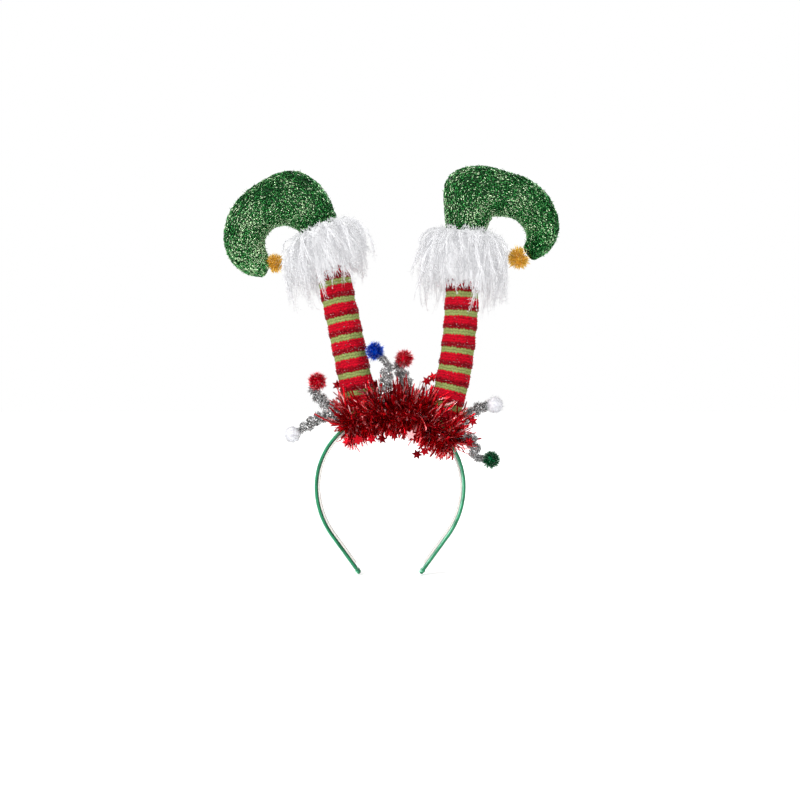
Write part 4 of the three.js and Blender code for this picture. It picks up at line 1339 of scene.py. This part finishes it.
def pompom(centre, radius, rng, width, strips, core, curl=0.15, away=None):
    """A ball of strips that run out from a core, each bent a little to one side.

    Strips that would point near to away, where something is seated, are left out.
    """
    direction = unit(rng.normal(size=(strips, 3)))
    if away is not None:
        direction = direction[direction @ unit(away) < math.cos(BARE_CONE)]
    number = len(direction)
    reach = radius * rng.uniform(0.9, 1.1, number)
    bent = rng.normal(0, curl * radius, (number, 3))
    share = np.array([0.35, 0.8, 1.0])
    lines = centre + direction[:, None] * (reach[:, None] * share)[..., None]
    lines = lines + bent[:, None] * (share**2)[:, None]
    # A share of the strips carry a painted glint; the others take random tones
    tones = np.where(rng.random(number) < BRIGHT_STRIPS, 1, 0.75 * rng.beta(1.6, 1.6, number))
    hairs = threads(lines, rng.normal(size=(number, 3)), width, width / 3, tones)
    return [ball(centre, core * radius, 31), hairs]


def toe_pompom_centre(leg):
    """The middle of a toe's pompom, which sits off the toe's end by its radius and most of the rounding."""
    up, toe, _ = shoe_frame(leg)
    lean = math.radians(leg.pompom_lean)
    offset = (toe * math.cos(lean) + up * math.sin(lean)) * (leg.pompom_radius + 0.8 * TOE_ROUNDING)
    return shoe_sections(leg, np.array([1.0]))[0][0] + offset


def toe_pompom(leg, rng):
    """The foil ball at a shoe's toe, with no strips towards the toe itself."""
    centre = toe_pompom_centre(leg)
    toward = shoe_sections(leg, np.array([1.0]))[0][0] - centre
    return pompom(centre, leg.pompom_radius, rng, 0.8, 2 * sizes().pompom_strips, 0.62, away=toward)


def spring_ends(row):
    """A spring's root, bend, tip and its pompom's middle."""
    leg = LEGS[row.beside]
    outer = BACKING_MIDDLE + BACKING_HALF_HEIGHT + SEAT_GAP
    root = on_crown(beside_leg(leg, row.outside) + row.shift, outer) - BACK * row.front * BACKING_HALF_WIDTH
    bend = root + np.array(row.bend) * SPRING_REACH
    tip = root + np.array(row.tip) * SPRING_REACH
    return root, bend, tip, tip + np.array(row.away) * POMPOM_RADIUS


def spring_wire(row):
    """A helix round a bent axis, drawn in at both ends, then a stretch into the pompom.

    Its radius ramps up over the first turn and down over the last half turn.
    """
    root, bend, tip, centre = spring_ends(row)
    controls = np.array([root, bend, tip])
    dense = bezier(controls, np.linspace(0, 1, 300))
    axis_length = np.linalg.norm(np.diff(dense, axis=0), axis=1).sum()
    turns = max(1, round(axis_length / COIL_PITCH) - 1)
    share = np.linspace(0, 1, turns * RINGS_PER_TURN)
    axis = bezier(controls, even_steps(dense, len(share)))
    tangent = unit(np.gradient(axis, axis=0))
    across = unit(np.cross(tangent, BACK))
    over = np.cross(tangent, across)
    ramp = np.minimum(1, np.minimum(share * turns / 0.7, (1 - share) * turns / 0.5)) * COIL_RADIUS
    phase = TURN * turns * share
    coil = axis + across * (ramp * np.cos(phase))[:, None] + over * (ramp * np.sin(phase))[:, None]
    inward = centre - tip
    stretch = np.linalg.norm(inward) - (POMPOM_RADIUS - POMPOM_GRIP)
    lead = tip + unit(inward) * (stretch * np.linspace(0, 1, 14))[1:, None]
    line = np.vstack([coil, lead])
    for _ in range(6):
        line[1:-1] = (line[:-2] + 2 * line[1:-1] + line[2:]) / 4
    return line


def wire_tube(line, radius, sides=6):
    """A round wire: a circle carried along a line, turned by the line's own plane."""
    tangent = unit(np.gradient(line, axis=0))
    side = unit(np.cross(tangent, BACK + 0.2 * UP))
    lift = np.cross(tangent, side)
    angle = TURN * np.arange(sides) / sides
    ring = side[:, None] * np.cos(angle)[:, None] + lift[:, None] * np.sin(angle)[:, None]
    ends = line[[0, -1]] + tangent[[0, -1]] * [[-radius / 2], [radius / 2]]
    return tube(line[:, None] + radius * ring, *ends)


def tinsel_spring(row, rng):
    """A coiled pipe cleaner: a wire with foil bristles that stand out all round it."""
    line = spring_wire(row)
    number = sizes().bristles
    place = even_steps(line, number) * (len(line) - 1)
    grid = np.arange(len(line))
    root = read_off(place, grid, line)
    tangent = unit(read_off(place, grid, np.gradient(line, axis=0)))
    square = np.cross(tangent, rng.normal(size=(number, 3)))
    direction = unit(square + 0.35 * tangent * rng.normal(size=(number, 1)))
    reach = in_mm("bristle_length") * rng.uniform(0.6, 1.0, number)
    lines = root[:, None] + direction[:, None] * (reach[:, None] * np.array([0.1, 0.7, 1]))[..., None]
    lines = lines + rng.normal(0, 0.12, lines.shape)
    # A share of the bristles carry a painted glint; the others take random tones
    tones = np.where(rng.random(number) < BRIGHT_BRISTLES, 1, 0.7 * rng.random(number))
    bristles = threads(lines, rng.normal(size=(number, 3)), 0.95, 0.25, tones)
    return [wire_tube(line, WIRE_RADIUS), bristles]


def garland_span():
    """Where the garland starts and ends along the crown, in degrees."""
    return [beside_leg(leg, 1) + leg.out * GARLAND_MARGIN for leg in LEGS]


def garland_core():
    """The twisted string that holds the strips: a squared sleeve round the band and its lining."""
    degrees = np.linspace(*garland_span(), 61)
    angle = TURN * np.arange(24) / 24
    middle = on_crown(degrees, np.full(len(degrees), BACKING_MIDDLE))
    twist = 0.25 * np.sin(3 * angle + np.radians(degrees)[:, None] * 40)
    out = BACKING_HALF_HEIGHT * flattened(np.cos(angle), BACKING_SQUARENESS) * (1 + 0.05 * twist)
    back = BACKING_HALF_WIDTH * flattened(np.sin(angle), BACKING_SQUARENESS) * (1 + 0.05 * twist)
    radial = leaning(degrees)[:, None]
    outer = middle[:, None] + radial * out[..., None] + along_last(back, BACK)
    inner = middle[:, None] + radial * (out * (1 - BACKING_WALL / BACKING_HALF_HEIGHT))[..., None]
    inner = inner + along_last(back * (1 - BACKING_WALL / BACKING_HALF_WIDTH), BACK)
    return hoop(np.concatenate([outer, inner[::-1]]), 0.2)


def pushed_clear(points, leg, room):
    """Points nearer to a leg's axis than its radius and some room, moved straight out to that."""
    axis = leg_sections(leg, np.linspace(0, 60, 40))[0]
    gaps = np.linalg.norm(points[..., None, :] - axis, axis=-1)
    nearest = axis[gaps.argmin(-1)]
    foot, tangent = axis[0], unit(axis[3] - axis[0])
    above = (points - foot) @ tangent > 0.5
    radial = points - nearest
    away = unit(radial + 1e-6 * BACK)
    gap = np.linalg.norm(radial, axis=-1)
    moved = nearest + away * (LEG_RADIUS + room)[..., None]
    inside = (gap < LEG_RADIUS + room) & above
    return np.where(inside[..., None], moved, points)


def strip_lines(rng, number):
    """Foil strips all round the garland, as arcs that droop and fan outwards at the two ends."""
    start, end = garland_span()
    share = rng.uniform(0, 1, number)
    degrees = start + 1 + (end - start - 2) * share
    around = rng.uniform(0, TURN, number)
    fan = GARLAND_FAN * (2 * share - 1) ** 5 + rng.normal(0, 0.34, number)
    inner = np.maximum(0, -np.cos(around)) * (0.18 + 0.14 * share)
    outer = np.maximum(0, np.cos(around)) * 0.2
    reach = GARLAND_RADIUS * rng.uniform(*STRIP_REACH, number) / np.sqrt(np.hypot(1, fan))
    reach = reach * (1 - inner + outer)
    outward, forward = leaning(degrees), leaning(degrees + 90)
    root = (
        on_crown(degrees, np.full(number, BACKING_MIDDLE))
        + outward * ((BACKING_HALF_HEIGHT - 0.4) * flattened(np.cos(around), BACKING_SQUARENESS))[:, None]
        + along_last((BACKING_HALF_WIDTH - 0.4) * flattened(np.sin(around), BACKING_SQUARENESS), BACK)
    )
    direction = unit(
        outward * np.cos(around)[:, None] + along_last(np.sin(around), BACK) + forward * fan[:, None]
    )
    bow = unit(np.cross(direction, rng.normal(size=(number, 3))))
    bow = bow * rng.uniform(0, STRIP_BOW, number)[:, None]
    reached = direction * (reach - BACKING_HALF_HEIGHT)[:, None]
    turn = outward * (np.abs(np.sin(around)) * rng.normal(0, STRIP_TURN, number))[:, None]
    controls = [root, root + reached * 0.5 + bow, root + reached - bow * 0.4 + turn]
    return bezier(np.stack(controls, 1), STRIP_PLACES)


def spring_axes():
    """Sample points on the springs' axes and in their pompoms."""
    found = []
    for row in SPRINGS:
        root, bend, tip, centre = spring_ends(row)
        found += [*bezier(np.array([root, bend, tip]), np.linspace(0.2, 1, 9)), centre]
    return np.array(found)


def garland_strips(rng):
    """The garland's strips, clear of the legs and springs, crinkled and each turned its own way."""
    lines = strip_lines(rng, sizes().garland_strips)
    for leg in LEGS:
        room = LEG_ROOM[0] + LEG_ROOM[1] * rng.random(len(lines))[:, None] * np.ones(lines.shape[1])
        lines = pushed_clear(lines, leg, room)
    gaps = np.linalg.norm(lines[:, :, None] - spring_axes(), axis=-1)
    lines = lines[gaps.min(axis=(1, 2)) > COIL_RADIUS + 1.5]
    number = len(lines)
    lines[:, 1:] += rng.normal(0, STRIP_CRINKLE, lines[:, 1:].shape)
    across = rng.normal(size=(number, 3))
    widths = in_mm("strip_width") * rng.uniform(0.75, 1.25, number)[:, None]
    # Random tones, with a painted glint along a share of the strips
    tones = glinting(rng, 0.75 * rng.beta(0.75, 1.0, number), STRIP_PLACES, 0.4, 0.13)
    return threads(lines, across, widths, 0.22, tones)


def star_part(centre, outward, across, turn, tone):
    """A foil star: corners that alternate between the points and the waist, domed on both faces."""
    n = 2 * STAR_POINTS
    k = np.arange(n)
    angle = TURN * k / n + math.radians(turn)
    reach = in_mm("star_radius") * np.where(k % 2, STAR_WAIST, 1)
    up = np.cross(outward, across)
    rim = centre + along_last(reach * np.cos(angle), across) + along_last(reach * np.sin(angle), up)
    front, back = rim + outward * 0.15, rim - outward * 0.15
    points = np.vstack([front, back, centre + outward * 0.6, centre - outward * 0.2])
    after = (k + 1) % n
    fans = np.vstack([
        np.stack([k, after, np.full(n, 2 * n)], -1),
        np.stack([n + after, n + k, np.full(n, 2 * n + 1)], -1),
    ])
    walls = np.stack([after, k, k + n, after + n], -1)
    return Part(points, [fans, walls], np.full(len(points), tone), 0, None)


def garland_stars(rng):
    """Stars at the garland's edge, each on a strip of its own from the band."""
    start, end = garland_span()
    table = np.array(STARS, float)
    centres = on_crown(table[:, 0], table[:, 1]) + along_last(table[:, 2], BACK)
    edge = BACKING_HALF_WIDTH - 0.4
    roots = on_crown(np.clip(table[:, 0], start + 3, end - 3), np.full(len(table), BACKING_MIDDLE))
    roots = roots + along_last(np.clip(table[:, 2], -edge, edge), BACK)
    bend = (roots + centres) / 2 + rng.normal(0, 1.5, centres.shape)
    lines = bezier(np.stack([roots, bend, centres], 1), np.linspace(0, 1, 6))
    for leg in LEGS:
        lines = pushed_clear(lines, leg, np.full(lines.shape[:2], 1.4))
    parts = [threads(lines, rng.normal(size=(len(lines), 3)), 0.9, 0.3, rng.random(len(lines)))]
    for centre, row, tilt in zip(lines[:, -1], table, rng.normal(0, 0.3, (len(table), 3))):
        outward = unit(BACK * (1 if row[2] > 12 else -1) + tilt)
        across = unit(np.cross(UP, outward))
        parts.append(facing_out(star_part(centre, outward, across, row[3], row[4])))
    return parts


class HeadbandOperator:
    """What each operator of the headband shares."""

    bl_options = {"REGISTER", "UNDO"}


class HEADBAND_OT_band(HeadbandOperator, bpy.types.Operator):
    """Covers the hair band in satin ribbon and lines it with tape"""

    bl_idname = "headband.band"
    bl_label = "Band and Lining"

    def execute(self, context):
        add_piece("satin_band", [satin_band()], [satin_material()], "band")
        add_piece("lining_tape", [lining_tape()], [lining_material()], "band_lining")
        return {"FINISHED"}


class HEADBAND_OT_stockings(HeadbandOperator, bpy.types.Operator):
    """Knits the two stuffed legs in stripes, with lurex loops"""

    bl_idname = "headband.stockings"
    bl_label = "Stockings"

    def execute(self, context):
        knit = stocking_material()
        lurex = foil_material("stocking_lurex", colours().lurex_red[:], dark=0.35, pale=0.85, metallic=0.6)
        for n, leg in enumerate(LEGS):
            parts = [stocking(leg), lurex_loops(leg, np.random.default_rng(SEEDS["stockings"] + n))]
            name = f"stocking_{leg.name}"
            piece = add_piece(name, parts, [knit, lurex], f"leg_{leg.name}")
        return {"FINISHED"}


class HEADBAND_OT_shoes(HeadbandOperator, bpy.types.Operator):
    """Stuffs the two curled shoes and knits them in green lurex"""

    bl_idname = "headband.shoes"
    bl_label = "Shoes"

    def execute(self, context):
        tint = colours().lurex_green[:]
        ground = ground_material("shoe_ground", colours().shoe_ground[:])
        lurex = toned_material(
            "green_lurex", colours().lurex_shade[:], tint, colours().lurex_glint[:], 500.0, 0.0005,
            Roughness=0.26, Metallic=0.75,
        )
        for n, leg in enumerate(LEGS):
            rng = np.random.default_rng(SEEDS["shoes"] + n)
            stuff_shoe(leg)
            parts = [shoe_body(leg), lurex_stitches(leg, rng), stray_threads(leg, rng)]
            name = f"elf_shoe_{leg.name}"
            piece = add_piece(name, parts, [ground, lurex], f"shoe_{leg.name}")
        return {"FINISHED"}


class HEADBAND_OT_cuffs(HeadbandOperator, bpy.types.Operator):
    """Sews a cuff of white eyelash fringe round each ankle"""

    bl_idname = "headband.cuffs"
    bl_label = "Fur Cuffs"

    def execute(self, context):
        tint = colours().fur[:]
        # The emission is a painted glow that lightens the fur's shade
        fur = toned_material(
            "white_fur", shade(tint, 0.66), shade(tint, 0.78), shade(tint, 0.86), 600.0, 0.0002,
            Roughness=0.9, Emission_Color=tint, Emission_Strength=0.22, Specular_IOR_Level=0.15,
        )
        for n, leg in enumerate(LEGS):
            rng = np.random.default_rng(SEEDS["cuffs"] + n)
            parts = cuff_backing(leg, rng) + fur_cuff(leg, rng)
            add_piece(f"eyelash_fringe_{leg.name}", parts, [fur], f"fur_cuff_{leg.name}")
        return {"FINISHED"}


class HEADBAND_OT_toe_pompoms(HeadbandOperator, bpy.types.Operator):
    """Seats a ball of gold foil on each toe"""

    bl_idname = "headband.toe_pompoms"
    bl_label = "Toe Pompoms"

    def execute(self, context):
        tint = colours().gold[:]
        # The emission is a painted glow that brightens the foil
        gold = foil_material(
            "gold_tinsel", tint, dark=0.42, pale=0.6, roughness=0.3, metallic=0.35, Emission_Color=tint,
            Emission_Strength=0.045,
        )
        for n, leg in enumerate(LEGS):
            parts = toe_pompom(leg, np.random.default_rng(SEEDS["toe_pompoms"] + n))
            name = f"toe_pompom_{leg.name}"
            add_piece(f"gold_{name}", parts, [gold], name, smooth=False)
        return {"FINISHED"}


class HEADBAND_OT_springs(HeadbandOperator, bpy.types.Operator):
    """Coils the six tinsel pipe cleaners and seats their pompoms"""

    bl_idname = "headband.springs"
    bl_label = "Springs and Pompoms"

    def execute(self, context):
        silver = foil_material("silver_tinsel", colours().silver[:], dark=0.16, pale=0.9, metallic=0.85)
        tints = colours()
        white = tints.pompom_white[:]
        finishes = {
            "red": tinsel_yarn_material("pompom_red", tints.pompom_red[:]),
            "blue": tinsel_yarn_material("pompom_blue", tints.pompom_blue[:]),
            "green": tinsel_yarn_material("pompom_green", tints.pompom_green[:]),
            # The emission is a painted glow, and the pure white of the palest strips a painted glint
            "white": toned_material(
                "pompom_white", shade(white, 0.86), white, (1, 1, 1), 900.0, 0.0003, Roughness=0.9,
                Sheen_Weight=0.5, Emission_Color=white, Emission_Strength=0.1,
            ),
        }
        strips = sizes().pompom_strips
        for n, row in enumerate(SPRINGS):
            rng = np.random.default_rng(SEEDS["springs"] + n)
            add_piece(
                f"tinsel_spring_{row.name}", tinsel_spring(row, rng), [silver], f"spring_{row.name}",
                smooth=False,
            )
            centre = spring_ends(row)[3]
            if row.colour == "white":
                parts = pompom(centre, POMPOM_RADIUS, rng, 0.45, 2 * strips, 0.86, curl=0.1)
            else:
                parts = pompom(centre, POMPOM_RADIUS, rng, 0.6, int(1.5 * strips), 0.6)
            add_piece(
                f"{row.colour}_pompom_{row.name}", parts, [finishes[row.colour]], f"pompom_{row.name}",
                smooth=row.colour == "white",
            )
        return {"FINISHED"}


class HEADBAND_OT_garland(HeadbandOperator, bpy.types.Operator):
    """Winds the red tinsel garland and its stars round the crown"""

    bl_idname = "headband.garland"
    bl_label = "Tinsel Garland"

    def execute(self, context):
        foil = foil_material(
            "red_tinsel", colours().foil_red[:], dark=0.26, pale=0.75, roughness=0.14, metallic=0.86
        )
        rng = np.random.default_rng(SEEDS["garland"])
        parts = [garland_core(), garland_strips(rng), *garland_stars(rng)]
        add_piece("foil_garland", parts, [foil], "tinsel_garland", smooth=False)
        return {"FINISHED"}


# Studio: the camera is level with the photograph's middle, in front of the band's plane. A light
# has its name, its place in metres, the side of its soft box in metres and its power in watts.
CAMERA_PLACE = (8.5, -900, 13.7)
FIELD_WIDTH = 688
FLOOR_RADIUS = 12
FLOOR_SIDES = 64
LIGHT_TARGET = (0, 0, 0.05)
LIGHTS = (
    ("key", (-1.1, -1.4, 1.2), 0.9, 32),
    ("fill", (1.5, -1.2, 0.6), 1.2, 6),
    ("back", (0.5, 1.6, 1.2), 1.0, 16),
)


def add_light(name, place, size, power):
    """A square soft box at a place, turned to face the target."""
    data = bpy.data.lights.new(name, "AREA")
    data.shape = "SQUARE"
    data.size = size
    data.energy = power
    light = bpy.data.objects.new(name, data)
    light.location = place
    direction = np.array(LIGHT_TARGET) - np.array(place)
    across = unit(np.cross(direction, UP))
    rise = unit(np.cross(across, direction))
    turned = np.array([across, rise, -unit(direction)]).T
    light.rotation_euler = Matrix(turned.tolist()).to_euler()
    bpy.context.scene.collection.objects.link(light)


def studio_world():
    """Even white light, paler below, and plain white behind the object."""
    world = bpy.data.worlds.new("studio")
    world.use_nodes = True
    tree = world.node_tree
    output = tree.nodes["World Output"]
    fill = tree.nodes["Background"]
    place = tree.nodes.new("ShaderNodeTexCoord").outputs["Generated"]
    height = add_node(tree, "ShaderNodeSeparateXYZ", Vector=place).outputs["Z"]
    tree.links.new(remap(tree, height, -0.3, 0.9, 0.25, 1.0), fill.inputs["Color"])
    fill.inputs["Strength"].default_value = 0.5
    white = add_node(tree, "ShaderNodeBackground", Strength=1.0)
    white.inputs["Color"].default_value = (1, 1, 1, 1)
    seen = tree.nodes.new("ShaderNodeLightPath").outputs["Is Camera Ray"]
    mix = add_node(tree, "ShaderNodeMixShader", Fac=seen, n1=fill.outputs[0], n2=white.outputs[0])
    tree.links.new(mix.outputs[0], output.inputs["Surface"])
    bpy.context.scene.world = world


class HEADBAND_OT_stage(HeadbandOperator, bpy.types.Operator):
    """Lays the pale floor and sets the soft lights and the camera"""

    bl_idname = "headband.stage"
    bl_label = "Studio"

    def execute(self, context):
        scene = context.scene
        scene.view_settings.view_transform = "Standard"
        level = CAD_BOX[0].z - 0.0005
        angle = TURN * np.arange(FLOOR_SIDES) / FLOOR_SIDES
        rim = [FLOOR_RADIUS * np.cos(angle), FLOOR_RADIUS * np.sin(angle), np.full(FLOOR_SIDES, level)]
        mesh = bpy.data.meshes.new("floor")
        mesh.from_pydata(np.stack(rim, -1).tolist(), [], [list(range(FLOOR_SIDES))])
        tint = colours().floor[:]
        material, tree, shader = new_material("studio_floor", Roughness=0.9, Emission_Strength=1.0)
        mix = blended(tree, grained(tree, 3.0), shade(tint, 0.99), tint)
        tree.links.new(mix, shader.inputs["Base Color"])
        place = tree.nodes.new("ShaderNodeTexCoord").outputs["Object"]
        away = add_node(tree, "ShaderNodeVectorMath", {"operation": "LENGTH"}, n0=place).outputs["Value"]
        glow = remap(tree, away, 0.2, 1.4, 0.3, 1.0)
        tree.links.new(glow, shader.inputs["Emission Color"])
        mesh.materials.append(material)
        floor = bpy.data.objects.new("floor", mesh)
        scene.collection.objects.link(floor)
        for row in LIGHTS:
            add_light(*row)
        studio_world()
        lens = bpy.data.cameras.new("portrait")
        lens.sensor_width = 36
        lens.lens = lens.sensor_width * -CAMERA_PLACE[1] / FIELD_WIDTH
        camera = bpy.data.objects.new("portrait", lens)
        camera.location = [MM * x for x in CAMERA_PLACE]
        camera.rotation_euler = (math.pi / 2, 0, 0)
        scene.collection.objects.link(camera)
        scene.camera = camera
        return {"FINISHED"}


OPERATORS = (
    HEADBAND_OT_stage,
    HEADBAND_OT_band,
    HEADBAND_OT_stockings,
    HEADBAND_OT_shoes,
    HEADBAND_OT_cuffs,
    HEADBAND_OT_toe_pompoms,
    HEADBAND_OT_springs,
    HEADBAND_OT_garland,
)


class HEADBAND_PT_panel(bpy.types.Panel):
    """Lists the headband's pieces, sizes and colours in the 3D view's sidebar"""

    bl_idname = "HEADBAND_PT_panel"
    bl_label = "Elf Headband"
    bl_space_type = "VIEW_3D"
    bl_region_type = "UI"
    bl_category = "Headband"

    def draw(self, context):
        for operator in OPERATORS:
            self.layout.operator(operator.bl_idname)
        for group in (context.scene.headband_sizes, context.scene.headband_colours):
            box = self.layout.box()
            for key in group.__annotations__:
                box.prop(group, key)


CLASSES = (HeadbandSizes, HeadbandColours, *OPERATORS, HEADBAND_PT_panel)


def register():
    for cls in CLASSES:
        bpy.utils.register_class(cls)
    bpy.types.Scene.headband_sizes = bpy.props.PointerProperty(type=HeadbandSizes)
    bpy.types.Scene.headband_colours = bpy.props.PointerProperty(type=HeadbandColours)


def unregister():
    del bpy.types.Scene.headband_colours
    del bpy.types.Scene.headband_sizes
    for cls in reversed(CLASSES):
        bpy.utils.unregister_class(cls)


def main():
    register()
    for operator in OPERATORS:
        group, name = operator.bl_idname.split(".")
        getattr(getattr(bpy.ops, group), name)()


if __name__ == "__main__":
    main()
